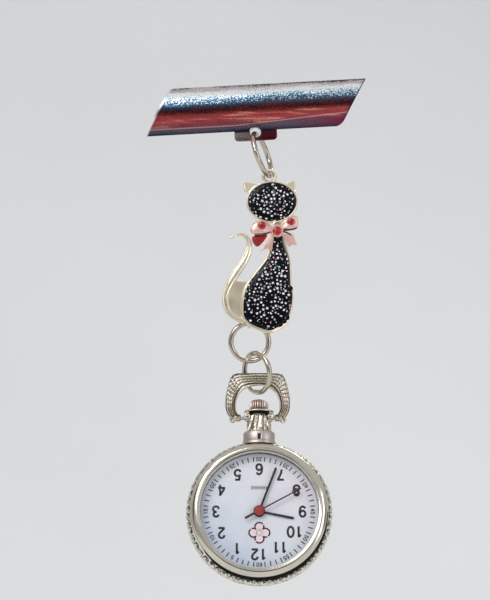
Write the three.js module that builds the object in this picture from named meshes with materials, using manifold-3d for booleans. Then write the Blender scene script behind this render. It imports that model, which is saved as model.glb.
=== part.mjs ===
// A nurse's fob watch: a brooch bar, a jump ring, an enamelled cat charm, two more jump rings,
// a bail and a small quartz pocket watch whose dial is printed upside down for its wearer.
// Millimetres, +Z up, +X to the viewer's right, -Y to the front. It hangs as it is worn.
// The origin is the middle of the brooch's back. Each mesh is one solid piece.
import * as THREE from "three";
import { mergeVertices } from "three/addons/utils/BufferGeometryUtils.js";
import Module from "manifold-3d";

const wasm = await Module();
wasm.setup();

// ---------------------------------------------------------------- driving dimensions
const DEG = Math.PI / 180;
const HANG_Y = -0.35; // every link hangs in this plane
const GAP = 0.03; // between two pieces that touch

// brooch
const BROOCH_TILT = 3.15 * DEG;
const BAR_LENGTH = 38.3;
const BAR_HALF_HEIGHT = 4.6;
const BAR_SLANT = 0.589; // sideways run of its ends for each millimetre of height
const BAR_DEPTH = 2.4;
const BAR_SHEET = 0.7;
const TAB_X = [-4.45, 3.85];
const TAB_BOTTOM = -6.6;
const TAB_HOLE = [-0.37, -4.95];
const TAB_HOLE_RADIUS = 0.95;
const PIN_HINGE = [-15, 2.7]; // X and Y of the pin's hinge
const PIN_RADIUS = 0.38;
const CATCH_X = [13.4, 15.6];
const CATCH_RADIUS = 1.2;

// rings: the radius of the wire's centre line, and of the wire
const WIRE = 0.55;
const TOP_RING = { radius: 4.35, lean: 18 * DEG, top: [-0.1, HANG_Y, -5.25], turn: 16 * DEG };
const MIDDLE_RING = { radius: 3.65, centre: [-1.17, HANG_Y, -45.9] };
const LOWER_RING = { radius: 3.8, lean: 8.8 * DEG, top: [-0.37, HANG_Y, -48.1], turn: 141.7 * DEG };

// charm, from the middle of the wire that it hangs on
const CHARM_AT = [2.59, HANG_Y, -13.52];
const CHARM_TILT = -3.6 * DEG;
const CHARM_HALF = 0.8;
const POCKET_Y = -0.3;
const ENAMEL_FRONT = -1.1;
const BOW_BACK = -1.15;
const BOW_FRONT = -1.75;
const LOOP = { z: -0.17, radius: 1.5, hole: 0.84, half: 0.42 };
const HEAD = { x: 0.58, z: -5.28, a: 4.98, b: 4.12 };
const RIM = 0.27;
const LUG = { x: -3.76, y: 1.79, z: -28.39, radius: 1.35, hole: 0.9, width: 0.9 };

// bail and watch
const BAIL_X = 0.35;
const BAIL_DEPTH = 2;
const PIVOT_Z = -60.6;
const PIVOT_RADIUS = 0.4;
const WATCH_AT = [0.6, HANG_Y, -79.28]; // the dial's centre when the watch hangs straight
const WATCH_LEAN = 13; // degrees that the watch is swung forward about the bail's pins
const CASE_RADIUS = 14;
const CASE_INSIDE = 11.9;
const DIAL_RADIUS = 11.8;
const PLATE_RADIUS = 9;
const ROUND = 40; // sides of a large turned piece
const SMALL = 20; // sides of a small one

// watch movement: places are X and Z from the dial's centre
const PLATE_Y = [-0.4, 0.3];
const BRIDGE_Y = [2, 2.35];
const THIRD_AT = [-1.3, 2.25];
const FIFTH_AT = [2.467, 0.898];
const ROTOR_AT = [4.27, 1.55];
const MINUTE_WHEEL_AT = [0, -2.4];
const BATTERY_AT = [-3.4, -4.57];
const SCREWS_AT = [[-4.7, 3.2], [4.9, 4.3], [1.6, -3.1]];

// ---------------------------------------------------------------- materials
function finish(color, roughness, metalness, extra = {}) {
  return new THREE.MeshStandardMaterial({ color, roughness, metalness, ...extra });
}
const chrome = finish(0xd8dade, 0.08, 1);
const silver = finish(0xc9c6c2, 0.22, 1);
const steel = finish(0xb9bcc0, 0.3, 1);
const paleGold = finish(0xe2d3b4, 0.25, 1);
const rosyGold = finish(0xe8bfae, 0.28, 1);
const brass = finish(0xc9a24e, 0.3, 1);
const blackEnamel = finish(0x0a0a0c, 0.15, 0);
const redStone = finish(0xc01820, 0.12, 0);
const white = finish(0xf1f0f3, 0.5, 0);
const black = finish(0x0c0c0d, 0.35, 0);
const red = finish(0xc22a2e, 0.35, 0);
const glass = finish(0xffffff, 0.03, 0, { transparent: true, opacity: 0.15 });
const rubber = finish(0x1b1b1b, 0.8, 0);
const nylon = finish(0xe6e3da, 0.55, 0);
const copper = finish(0xb5653a, 0.35, 1);
const greenBoard = finish(0x1d6b45, 0.5, 0);

// ---------------------------------------------------------------- joining and cutting
function solid(geometry) {
  const bare = geometry.index ? geometry.toNonIndexed() : geometry.clone();
  bare.deleteAttribute("normal");
  bare.deleteAttribute("uv");
  const merged = mergeVertices(bare, 1e-4);
  return new wasm.Manifold(
    new wasm.Mesh({
      numProp: 3,
      vertProperties: merged.attributes.position.array,
      triVerts: new Uint32Array(merged.index.array),
    }),
  );
}

function geometryOf(manifold) {
  const mesh = manifold.getMesh();
  return new THREE.BufferGeometry()
    .setAttribute("position", new THREE.BufferAttribute(mesh.vertProperties, 3))
    .setIndex(new THREE.BufferAttribute(mesh.triVerts, 1));
}

function join(...pieces) {
  return geometryOf(pieces.map(solid).reduce((all, piece) => all.add(piece)));
}

function cut(piece, ...tools) {
  return geometryOf(tools.map(solid).reduce((left, tool) => left.subtract(tool), solid(piece)));
}

// ---------------------------------------------------------------- basic shapes
// A solid of revolution about Y. The profile is a closed outline of [radius, y] points.
function turned(profile, sides = ROUND) {
  let area = 0;
  profile.forEach(([r, y], i) => {
    const [nextR, nextY] = profile[(i + 1) % profile.length];
    area += r * nextY - nextR * y;
  });
  const outline = area > 0 ? profile : [...profile].reverse();
  const points = outline.map(([r, y]) => new THREE.Vector2(r, y));
  points.push(points[0].clone());
  return new THREE.LatheGeometry(points, sides);
}

function tube(inner, outer, y0, y1, sides = SMALL) {
  return turned([[inner, y0], [outer, y0], [outer, y1], [inner, y1]], sides);
}

function rod(radius, y0, y1, sides = SMALL) {
  return new THREE.CylinderGeometry(radius, radius, y1 - y0, sides).translate(0, (y0 + y1) / 2, 0);
}

function box(x0, x1, y0, y1, z0, z1) {
  return new THREE.BoxGeometry(x1 - x0, y1 - y0, z1 - z0).translate(
    (x0 + x1) / 2,
    (y0 + y1) / 2,
    (z0 + z1) / 2,
  );
}

function rodAlongX(radius, x0, x1, y, z, sides = SMALL) {
  return rod(radius, -x1, -x0, sides).rotateZ(Math.PI / 2).translate(0, y, z);
}

function rodAlongZ(radius, z0, z1, x, y, sides = SMALL) {
  return rod(radius, z0, z1, sides).rotateX(Math.PI / 2).translate(x, y, 0);
}

// An outline of [x, z] points, given depth from yFront to yBack.
function plate(outline, yFront, yBack, bevel = 0) {
  const shape = new THREE.Shape(outline.map(([x, z]) => new THREE.Vector2(x, z)));
  return new THREE.ExtrudeGeometry(shape, {
    depth: yBack - yFront - 2 * bevel,
    bevelEnabled: bevel > 0,
    bevelThickness: bevel,
    bevelSize: bevel,
    bevelOffset: -bevel,
    bevelSegments: 2,
  })
    .rotateX(Math.PI / 2)
    .translate(0, yBack - bevel, 0);
}

function smooth(points, count, closed = true) {
  const curve = new THREE.CatmullRomCurve3(
    points.map(([x, z]) => new THREE.Vector3(x, 0, z)),
    closed,
    "centripetal",
  );
  return curve.getSpacedPoints(count).slice(0, closed ? count : count + 1).map((p) => [p.x, p.z]);
}

function oval(x, z, a, b, count = 32) {
  return Array.from({ length: count }, (_, i) => {
    const turn = (2 * Math.PI * i) / count;
    return [x + a * Math.cos(turn), z + b * Math.sin(turn)];
  });
}

// An arc of [x, z] points about a centre; angles in degrees from +X towards +Z.
function arc(x, z, radius, from, to, count) {
  return Array.from({ length: count + 1 }, (_, i) => {
    const turn = (from + ((to - from) * i) / count) * DEG;
    return [x + radius * Math.cos(turn), z + radius * Math.sin(turn)];
  });
}

function toothed(teeth, tip, root, y0, y1, bore = 0) {
  const outline = [];
  for (let i = 0; i < teeth; i++) {
    const turn = (2 * Math.PI * i) / teeth;
    const step = Math.PI / teeth;
    outline.push([tip * Math.cos(turn), tip * Math.sin(turn)]);
    outline.push([root * Math.cos(turn + step), root * Math.sin(turn + step)]);
  }
  const disc = plate(outline, y0, y1);
  return bore ? cut(disc, rod(bore, y0 - 1, y1 + 1)) : disc;
}

function ring(radius, wire = WIRE) {
  return new THREE.TorusGeometry(radius, wire, 8, 28);
}

function add(group, name, geometry, material) {
  const mesh = new THREE.Mesh(geometry, material);
  mesh.name = name;
  group.add(mesh);
  return mesh;
}

// A torus lies about its own Z axis. This turns it so that its own -Y hangs along `down`,
// and its normal is `normal`.
function hangRing(group, name, { radius, lean, top, turn }, material) {
  const down = new THREE.Vector3(Math.sin(lean), 0, -Math.cos(lean));
  const side = new THREE.Vector3(Math.cos(lean), 0, Math.sin(lean));
  const across = side.multiplyScalar(Math.sin(turn)).add(new THREE.Vector3(0, Math.cos(turn), 0));
  const up = down.clone().negate();
  const normal = new THREE.Vector3().crossVectors(across, up);
  const mesh = add(group, name, ring(radius), material);
  mesh.applyMatrix4(new THREE.Matrix4().makeBasis(across, up, normal));
  mesh.position.set(...top).addScaledVector(down, radius);
  return mesh;
}

// ---------------------------------------------------------------- brooch
// The bar is a sheet bent to a shallow gutter, with slanting ends and a tab below.
function broochPlate() {
  const radius = (BAR_HALF_HEIGHT ** 2 + BAR_DEPTH ** 2) / (2 * BAR_DEPTH);
  const half = Math.asin(BAR_HALF_HEIGHT / radius) / DEG;
  const section = [
    ...arc(radius - BAR_DEPTH, 0, radius, 180 - half, 180 + half, 14),
    ...arc(radius - BAR_DEPTH, 0, radius - BAR_SHEET, 180 + half, 180 - half, 14),
  ];
  const shape = new THREE.Shape(section.map(([y, z]) => new THREE.Vector2(y, z)));
  const gutter = new THREE.ExtrudeGeometry(shape, { depth: BAR_LENGTH, bevelEnabled: false });
  const lay = new THREE.Matrix4().set(
    0, BAR_SLANT, 1, -BAR_LENGTH / 2,
    1, 0, 0, 0,
    0, 1, 0, 0,
    0, 0, 0, 1,
  );
  gutter.applyMatrix4(lay);
  const [left, right] = TAB_X;
  const corner = 1.3;
  const tab = plate(
    [
      [left, -3.95],
      ...arc(left + corner, TAB_BOTTOM + corner, corner, 180, 270, 4),
      ...arc(right - corner, TAB_BOTTOM + corner, corner, 270, 360, 4),
      [right, -3.95],
    ],
    -0.65,
    0.05,
  );
  const hole = rod(TAB_HOLE_RADIUS, -4, 4).translate(TAB_HOLE[0], 0, TAB_HOLE[1]);
  return cut(join(gutter, tab), hole);
}

// The strip behind the bar, its two solder pads, and the ears of the pin's hinge.
function pinBase() {
  const [x, y] = PIN_HINGE;
  const strip = box(-17, 17, -0.6, 0, -2, 2);
  const pads = [-11, 11].map((at) => box(at - 1.5, at + 1.5, -1.5, -0.5, -1.2, 1.2));
  const ears = [-1, 1].map((side) =>
    join(
      box(x - 0.9, x + 0.9, -0.1, y, side - 0.25, side + 0.25),
      rodAlongZ(0.9, side - 0.25, side + 0.25, x, y, 16),
    ),
  );
  return cut(join(strip, ...pads, ...ears), rodAlongZ(0.45, -3, 3, x, y, 16));
}

function hingeRivet() {
  const [x, y] = PIN_HINGE;
  return join(
    rodAlongZ(0.4, -1.3, 1.3, x, y, 16),
    rodAlongZ(0.65, -1.6, -1.28, x, y, 16),
    rodAlongZ(0.65, 1.28, 1.6, x, y, 16),
  );
}

// The pin lies in a slot that opens to the back; a flange at each end keeps the lock on.
function catchHousing() {
  const [x0, x1] = CATCH_X;
  const y = PIN_HINGE[1];
  const flange = 0.35;
  const body = join(
    rodAlongX(CATCH_RADIUS, x0, x1, y, 0),
    rodAlongX(CATCH_RADIUS + 0.4, x0, x0 + flange, y, 0),
    rodAlongX(CATCH_RADIUS + 0.4, x1 - flange, x1, y, 0),
    box(x0, x1, GAP, y - 0.5, -0.7, 0.7),
  );
  return cut(body, box(x0 - 1, x1 + 1, y - 0.5, y + 3, -0.5, 0.5));
}

function pinStem() {
  const [x, y] = PIN_HINGE;
  const tip = CATCH_X[1] + 0.6;
  const shaft = tip - 2 - x;
  const eye = cut(
    rodAlongZ(0.95, -0.65, 0.65, x, y, 16),
    rodAlongZ(0.46, -1, 1, x, y, 16),
  );
  const needle = turned(
    [[0, 0], [PIN_RADIUS, 0], [PIN_RADIUS, shaft - 0.7], [0.05, shaft + 1.2], [0, shaft + 1.2]],
    10,
  );
  needle.rotateZ(-Math.PI / 2).translate(x + 0.7, y, 0);
  return join(eye, needle);
}

// A curved shell beside the slot, with a thumb tab. It rolls over the slot to lock the pin.
function catchLock() {
  const y = PIN_HINGE[1];
  const inner = CATCH_RADIUS + 0.05;
  const outline = [
    ...arc(0, 0, inner + 0.4, 40, 140, 8),
    ...arc(0, 0, inner, 140, 40, 8),
  ];
  const shape = new THREE.Shape(outline.map(([a, b]) => new THREE.Vector2(a, b)));
  const x0 = CATCH_X[0] + 0.4;
  const shell = new THREE.ExtrudeGeometry(shape, { depth: 1.4, bevelEnabled: false });
  shell.applyMatrix4(new THREE.Matrix4().set(0, 0, 1, x0, 1, 0, 0, y, 0, 1, 0, 0, 0, 0, 0, 1));
  return join(shell, box(x0 + 0.3, x0 + 1.1, y - 0.25, y + 0.25, inner + 0.2, inner + 1.2));
}

function buildBrooch() {
  const group = new THREE.Group();
  group.rotation.y = -BROOCH_TILT;
  add(group, "brooch_plate", broochPlate(), chrome);
  add(group, "pin_base", pinBase(), steel);
  add(group, "pin_hinge_rivet", hingeRivet(), steel);
  add(group, "catch_housing", catchHousing(), steel);
  add(group, "pin_stem", pinStem(), steel);
  add(group, "catch_lock", catchLock(), steel);
  return group;
}

// ---------------------------------------------------------------- charm
const BODY_OUTLINE = [
  [0.9, -9.6], [0.55, -12.7], [-0.5, -16.2], [-3.6, -20.3], [-4.9, -22.8], [-5.35, -25.3],
  [-5.25, -27.8], [-4.35, -29.1], [-2.9, -30.0], [-0.1, -30.85], [1.5, -30.3], [3.4, -29.0],
  [4.4, -26.3], [4.7, -23.6], [4.3, -21.5], [4.2, -18.6], [4.0, -16.2], [2.9, -12.7], [2.5, -9.6],
];
const BODY_ENAMEL = [
  [1.1, -12.0], [0.6, -14.5], [-0.2, -16.5], [-3.3, -20.4], [-4.6, -22.9], [-5.05, -25.3],
  [-4.95, -27.6], [-4.1, -28.8], [-2.8, -29.65], [-0.1, -30.5], [1.4, -30.0], [3.15, -28.75],
  [4.1, -26.2], [4.4, -23.6], [4.0, -21.5], [3.9, -18.6], [3.6, -16.2], [2.6, -13.0], [2.3, -12.0],
];
const TAIL_LINE = [
  [-7.5, -12.45], [-5.3, -11.55], [-3.7, -12.9], [-3.95, -14.9], [-5.4, -17.6], [-7.4, -20.2],
  [-8.6, -22.8], [-8.8, -25.3], [-7.9, -27.1], [-6.4, -28.2], [-4.6, -28.6],
];
const WEB = [
  [-7.3, -20.9], [-4.0, -21.6], [-4.7, -24.5], [-4.6, -27.5], [-6.6, -27.7], [-8.2, -26.2], [-8.3, -23.6],
];
const BOW_LEFT = [[0.9, -11.0], [-0.2, -10.0], [-1.7, -9.2], [-3.3, -9.7], [-3.5, -10.6], [-1.9, -11.2]];
const BOW_RIGHT = [[2.2, -10.9], [2.5, -9.6], [3.7, -8.3], [5.2, -8.3], [5.5, -10.3], [3.8, -11.2]];
const TAIL_LEFT = [[1.2, -11.3], [-1.5, -13.0], [-1.8, -14.9], [-0.4, -14.5], [0.7, -15.1]];
const TAIL_RIGHT = [[2.0, -11.5], [3.4, -11.2], [5.3, -13.9], [3.8, -14.3], [3.2, -14.6]];
const STONES = [
  ["bow_stone_left", -1.4, -10.2, 0.74],
  ["bow_stone_middle", 1.5, -11.2, 0.84],
  ["bow_stone_right", 4.3, -9.5, 0.7],
];

function charmPlate() {
  const head = plate(oval(HEAD.x, HEAD.z, HEAD.a, HEAD.b, 36), -CHARM_HALF, CHARM_HALF);
  const body = plate(smooth(BODY_OUTLINE, 46), -CHARM_HALF, CHARM_HALF);
  const neck = plate([[0.8, -8.5], [2.6, -8.5], [2.6, -11], [0.8, -11]], -CHARM_HALF, CHARM_HALF);
  const ears = [
    [[-4.5, -3.3], [-5.1, -1.7], [-4.7, -1.3], [-2.4, -2.0], [-2.4, -3.3]],
    [[3.6, -3.3], [3.4, -1.9], [4.6, -1.1], [5.1, -1.4], [5.2, -3.3]],
  ].map((outline) => plate(outline, -0.6, 0.6));
  const loop = rod(LOOP.radius, -LOOP.half, LOOP.half, 24).translate(0, 0, LOOP.z);
  const hole = rod(LOOP.hole, -2, 2, 20).translate(0, 0, LOOP.z);
  const path = new THREE.CatmullRomCurve3(TAIL_LINE.map(([x, z]) => new THREE.Vector3(x, 0, z)));
  const section = new THREE.Shape(oval(0, 0, 0.6, 0.55, 8).map(([a, b]) => new THREE.Vector2(a, b)));
  const tail = new THREE.ExtrudeGeometry(section, { steps: 28, extrudePath: path });
  const web = plate(smooth(WEB, 16), -0.35, 0.45);
  const lug = cut(
    join(
      rodAlongX(LUG.radius, LUG.x - LUG.width / 2, LUG.x + LUG.width / 2, LUG.y, LUG.z),
      box(LUG.x - LUG.width / 2, LUG.x + LUG.width / 2, 0, LUG.y, LUG.z - 1, LUG.z + 1.5),
    ),
    rodAlongX(LUG.hole, LUG.x - 2, LUG.x + 2, LUG.y, LUG.z),
  );
  const blank = cut(join(head, neck, body, ...ears, loop, tail, web, lug), hole);
  return cut(
    blank,
    plate(oval(HEAD.x, HEAD.z, HEAD.a - RIM, HEAD.b - RIM, 36), -2, POCKET_Y),
    plate(smooth(BODY_ENAMEL, 40), -2, POCKET_Y),
  );
}

function shrunk(outline, amount) {
  const x = outline.reduce((sum, p) => sum + p[0], 0) / outline.length;
  const z = outline.reduce((sum, p) => sum + p[1], 0) / outline.length;
  return outline.map(([a, b]) => {
    const reach = Math.hypot(a - x, b - z);
    return [x + ((a - x) * (reach - amount)) / reach, z + ((b - z) * (reach - amount)) / reach];
  });
}

function ribbonBow() {
  const lobes = [BOW_LEFT, BOW_RIGHT].map((outline) =>
    plate(smooth(outline, 14), BOW_FRONT, BOW_BACK),
  );
  const tails = [TAIL_LEFT, TAIL_RIGHT].map((outline) => plate(outline, BOW_FRONT + 0.15, BOW_BACK));
  const knot = rod(1.17, BOW_FRONT - 0.2, BOW_BACK).translate(1.5, 0, -11.2);
  return join(...lobes, ...tails, knot);
}

function buildCharm() {
  const group = new THREE.Group();
  group.position.set(...CHARM_AT);
  group.rotation.x = CHARM_TILT;
  const back = POCKET_Y - GAP;
  add(group, "charm_plate", charmPlate(), paleGold);
  const head = oval(HEAD.x, HEAD.z, HEAD.a - RIM - GAP, HEAD.b - RIM - GAP, 36);
  add(group, "head_enamel", plate(head, ENAMEL_FRONT, back, 0.3), blackEnamel);
  const body = shrunk(smooth(BODY_ENAMEL, 40), 0.06);
  add(group, "body_enamel", plate(body, ENAMEL_FRONT, back, 0.3), blackEnamel);
  add(group, "ribbon_bow", ribbonBow(), rosyGold);
  for (const [name, x, z, radius] of STONES) {
    const base = name === "bow_stone_middle" ? BOW_FRONT - 0.2 : BOW_FRONT;
    const stone = turned(
      [[0, base - GAP], [radius, base - GAP], [radius * 0.8, base - 0.35], [0, base - 0.45]],
      16,
    );
    add(group, name, stone.translate(x, 0, z), redStone);
  }
  return group;
}

// ---------------------------------------------------------------- rings and bail
function bail() {
  const outside = [
    [3.3, -61.4], [4.5, -61.6], [5.5, -60.9], [6.15, -59.0], [6.25, -57.0], [5.7, -54.6],
    [4.2, -52.7], [2.2, -51.95], [0, -51.85],
  ];
  const inside = [
    [0, -54.38], [1.9, -54.7], [3.4, -55.8], [4.1, -57.4], [4.15, -58.9], [3.9, -59.7], [3.3, -59.9],
  ];
  const outer = smooth(outside, 14, false);
  const inner = smooth(inside, 11, false);
  const mirrored = (points) => points.slice().reverse().map(([x, z]) => [-x, z]);
  const outline = [...outer, ...mirrored(outer).slice(1), ...mirrored(inner), ...inner.slice(1)];
  const arch = plate(outline, -BAIL_DEPTH / 2, BAIL_DEPTH / 2, 0.35);
  return cut(
    arch,
    rodAlongX(PIVOT_RADIUS + 0.06, 2, 4.75, 0, PIVOT_Z),
    rodAlongX(PIVOT_RADIUS + 0.06, -4.75, -2, 0, PIVOT_Z),
  );
}

function buildLinks() {
  const group = new THREE.Group();
  hangRing(group, "top_ring", TOP_RING, silver);
  const middle = add(group, "middle_ring", ring(MIDDLE_RING.radius), silver);
  middle.rotation.x = Math.PI / 2;
  middle.position.set(...MIDDLE_RING.centre);
  hangRing(group, "lower_ring", LOWER_RING, silver);
  add(group, "bail", bail(), silver).position.set(BAIL_X, HANG_Y, 0);
  return group;
}

// ---------------------------------------------------------------- watch case
const CASE_SHAPE = [
  [12.6, -2.3], [13.4, -2.05], [13.85, -1.3], [CASE_RADIUS, -0.3], [CASE_RADIUS, 0.7],
  [13.85, 1.6], [13.4, 2.3], [12.8, 2.6],
];

function caseMiddle() {
  const wall = turned([[CASE_INSIDE, -2.3], ...CASE_SHAPE, [CASE_INSIDE, 2.6]]);
  return cut(wall, rodAlongZ(0.7, 10, 16, 0, 0));
}

// The neck on top of the case: a tube for the stem, a collar, and a hole for each bail pin.
function pendant() {
  const rise = (z) => z - WATCH_AT[2];
  const profile = [
    [0, rise(-59.15)], [2.9, rise(-59.15)], [3, rise(-59.6)], [2.4, rise(-60)], [2.3, rise(-61.2)],
    [2.35, rise(-62.8)], [2.55, rise(-63.6)], [3.05, rise(-63.75)], [3.05, 12.9], [0, 12.9],
  ];
  const neck = turned(profile, 28).rotateX(Math.PI / 2).scale(1, 0.78, 1);
  const seat = turned([[0, -2.34], ...CASE_SHAPE.map(([r, y]) => [r + GAP, y]), [0, 2.64]]);
  return cut(
    neck,
    seat,
    rodAlongZ(0.62, 10, 22, 0, 0),
    rodAlongX(PIVOT_RADIUS + GAP, 0.9, 4, 0, rise(PIVOT_Z)),
    rodAlongX(PIVOT_RADIUS + GAP, -4, -0.9, 0, rise(PIVOT_Z)),
  );
}

function caseBack() {
  return turned([
    [0, 2.66], [12.2, 2.66], [12.75, 2.66], [12.9, 2.9], [12.2, 3.35], [11.2, 3.6], [0, 3.6],
  ]);
}

function bezel() {
  return turned([
    [11.5, -2.33], [12.45, -2.33], [12.5, -2.9], [12.3, -3.6], [11.95, -4], [11.65, -3.95], [11.5, -3.7],
  ]);
}

function crystal() {
  return turned([
    [0, -3.85], [6, -3.72], [11.1, -3.1], [11.2, -3.05], [11.2, -3.6], [8, -4.2], [4, -4.5], [0, -4.6],
  ]);
}

function dialFlange() {
  return turned([
    [11.15, -1.63], [11.85, -1.63], [11.85, -2.27], [11.47, -2.27], [11.47, -3.03], [11.15, -3.03],
  ]);
}

function buildCase(group) {
  add(group, "case_middle", caseMiddle(), silver);
  add(group, "pendant", pendant(), silver);
  add(group, "case_back", caseBack(), steel);
  add(group, "bezel", bezel(), chrome);
  add(group, "crystal", crystal(), glass);
  add(group, "crystal_gasket", tube(11.22, 11.48, -3.6, -3.06, ROUND), rubber);
  add(group, "dial_flange", dialFlange(), chrome);
  add(group, "dial", tube(1, DIAL_RADIUS, -1.6, -1.2, ROUND), white);
  add(group, "back_gasket", tube(11.4, 11.8, 2.28, 2.62, ROUND), rubber);
  const rise = PIVOT_Z - WATCH_AT[2];
  add(group, "bail_pin_left", rodAlongX(PIVOT_RADIUS, -4.4, -0.95, 0, rise), steel);
  add(group, "bail_pin_right", rodAlongX(PIVOT_RADIUS, 0.95, 4.4, 0, rise), steel);
}

// ---------------------------------------------------------------- crown and stem
function crown() {
  const rise = (z) => z - WATCH_AT[2];
  const outline = [];
  const ribs = 18;
  for (let i = 0; i < ribs * 2; i++) {
    const reach = i % 2 ? 1.62 : 1.8;
    const turn = (Math.PI * i) / ribs;
    outline.push([reach * Math.cos(turn), reach * Math.sin(turn)]);
  }
  const knob = plate(outline, rise(-59), rise(-57.9)).rotateX(Math.PI / 2);
  const dome = turned(
    [[0, rise(-57.95)], [1.6, rise(-57.95)], [1.45, rise(-57.5)], [0.95, rise(-57.2)], [0, rise(-57.1)]],
    18,
  ).rotateX(Math.PI / 2);
  return cut(join(knob, dome), rodAlongZ(0.48, rise(-59.5), rise(-58), 0, 0));
}

function buildCrown(group) {
  const top = -58.03 - WATCH_AT[2];
  add(group, "crown", crown(), silver);
  add(group, "winding_stem", rodAlongZ(0.45, 6.3, top, 0, 0), steel);
  const pinion = toothed(10, 0.95, 0.8, 7, 8, 0.5).rotateX(Math.PI / 2);
  add(group, "sliding_pinion", pinion, steel);
}

// ---------------------------------------------------------------- movement
// Cuts a hole at each place through a piece that lies flat.
function drilled(piece, places, radius) {
  return cut(piece, ...places.map(([x, z]) => rod(radius, -9, 9, 12).translate(x, 0, z)));
}

function mainPlate() {
  const disc = turned([[0.56, PLATE_Y[0]], [PLATE_RADIUS, PLATE_Y[0]], [PLATE_RADIUS, PLATE_Y[1]],
    [0.56, PLATE_Y[1]]]);
  const slot = box(-1.1, 1.1, -2, 2, 6, 12);
  return drilled(cut(disc, slot), [THIRD_AT, FIFTH_AT, ROTOR_AT], 0.2);
}

function trainBridge() {
  const outline = smooth(
    [[-5.6, 3.1], [-4.3, 4.4], [-1, 4], [2.5, 4.2], [4.9, 5.3], [5.6, 4.2], [5.1, 1.2], [3.2, -0.8],
      [2.6, -3.2], [1.4, -4], [0.5, -3.2], [-1, -0.9], [-2.8, 0.6]],
    30,
  );
  const sheet = plate(outline, BRIDGE_Y[0], BRIDGE_Y[1]);
  const pillars = SCREWS_AT.map(([x, z]) =>
    rod(0.65, PLATE_Y[1] + GAP, BRIDGE_Y[0] + 0.1).translate(x, 0, z),
  );
  const bridge = drilled(join(sheet, ...pillars), SCREWS_AT, 0.36);
  return drilled(bridge, [[0, 0], THIRD_AT, FIFTH_AT, ROTOR_AT], 0.2);
}

function bridgeScrew() {
  return turned(
    [[0, 0.9], [0.32, 0.9], [0.32, BRIDGE_Y[1] + GAP], [0.6, BRIDGE_Y[1] + GAP], [0.6, 2.58], [0, 2.58]],
    12,
  );
}

function movementRing() {
  const band = tube(9.2, 11.8, -1.15, 2.25, ROUND);
  return cut(band, rodAlongZ(1, 8, 14, 0, 0));
}

// A wheel with its pinion and arbor, all on one axis.
function wheelOn(wheel, pinion, arborRadius, y0, y1) {
  return join(wheel, pinion, rod(arborRadius, y0, y1, 12));
}

function coil() {
  return join(
    rodAlongZ(0.85, -3.7, 0.1, 6.6, 1.65),
    box(6.1, 7.1, 0.75, 1.2, -4.6, 0.9),
    box(6.2, 7, 1.1, 1.5, -4.2, 0.5),
  );
}

function stator() {
  const outline = [
    [3.3, 0.6], [6, 0.6], [6, -4.7], [7.2, -4.7], [7.2, 2.5], [3.3, 2.5],
  ];
  return drilled(plate(outline, 0.35, 0.7), [ROTOR_AT], 0.75);
}

function buildMovement(group) {
  add(group, "movement_ring", movementRing(), nylon);
  add(group, "main_plate", mainPlate(), brass);
  add(group, "train_bridge", trainBridge(), steel);
  SCREWS_AT.forEach(([x, z], i) => {
    add(group, "bridge_screw_" + (i + 1), bridgeScrew().translate(x, 0, z), steel);
  });
  const [bx, bz] = BATTERY_AT;
  const cell = turned([[0, 0.35], [2.9, 0.35], [3.4, 0.6], [3.4, 2.42], [0, 2.42]], 32);
  add(group, "battery", cell.translate(bx, 0, bz), steel);
  const strap = plate([[-7, -1.9], [-6.6, -2.6], [0.3, -7.3], [0.6, -6.5]], 2.46, 2.58);
  add(group, "battery_strap", strap, brass);
  add(group, "coil", coil(), copper);
  add(group, "stator", stator(), steel);
  const board = plate([[0.6, -4.3], [5.6, -4.3], [5.9, -5.8], [3.6, -7.8], [0.6, -8.4]], 0.35, 0.6);
  add(group, "circuit_board", board, greenBoard);
  add(group, "quartz_can", rodAlongX(0.8, 1, 5, 1.45, -5.4), silver);
}

// ---------------------------------------------------------------- hands and gear train
const MINUTE_TURN = 21; // degrees clockwise from straight up, seen from the front
const HOUR_TURN = 101.5;
const SECOND_TURN = 61.6;

function handBlade(outline, y0, y1, hub, bore, turn) {
  const blade = plate(outline, y0, y1);
  const boss = rod(hub, y0, y1, 18);
  const hand = bore ? cut(join(blade, boss), rod(bore, y0 - 1, y1 + 1, 16)) : join(blade, boss);
  return hand.rotateY(turn * DEG);
}

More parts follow.
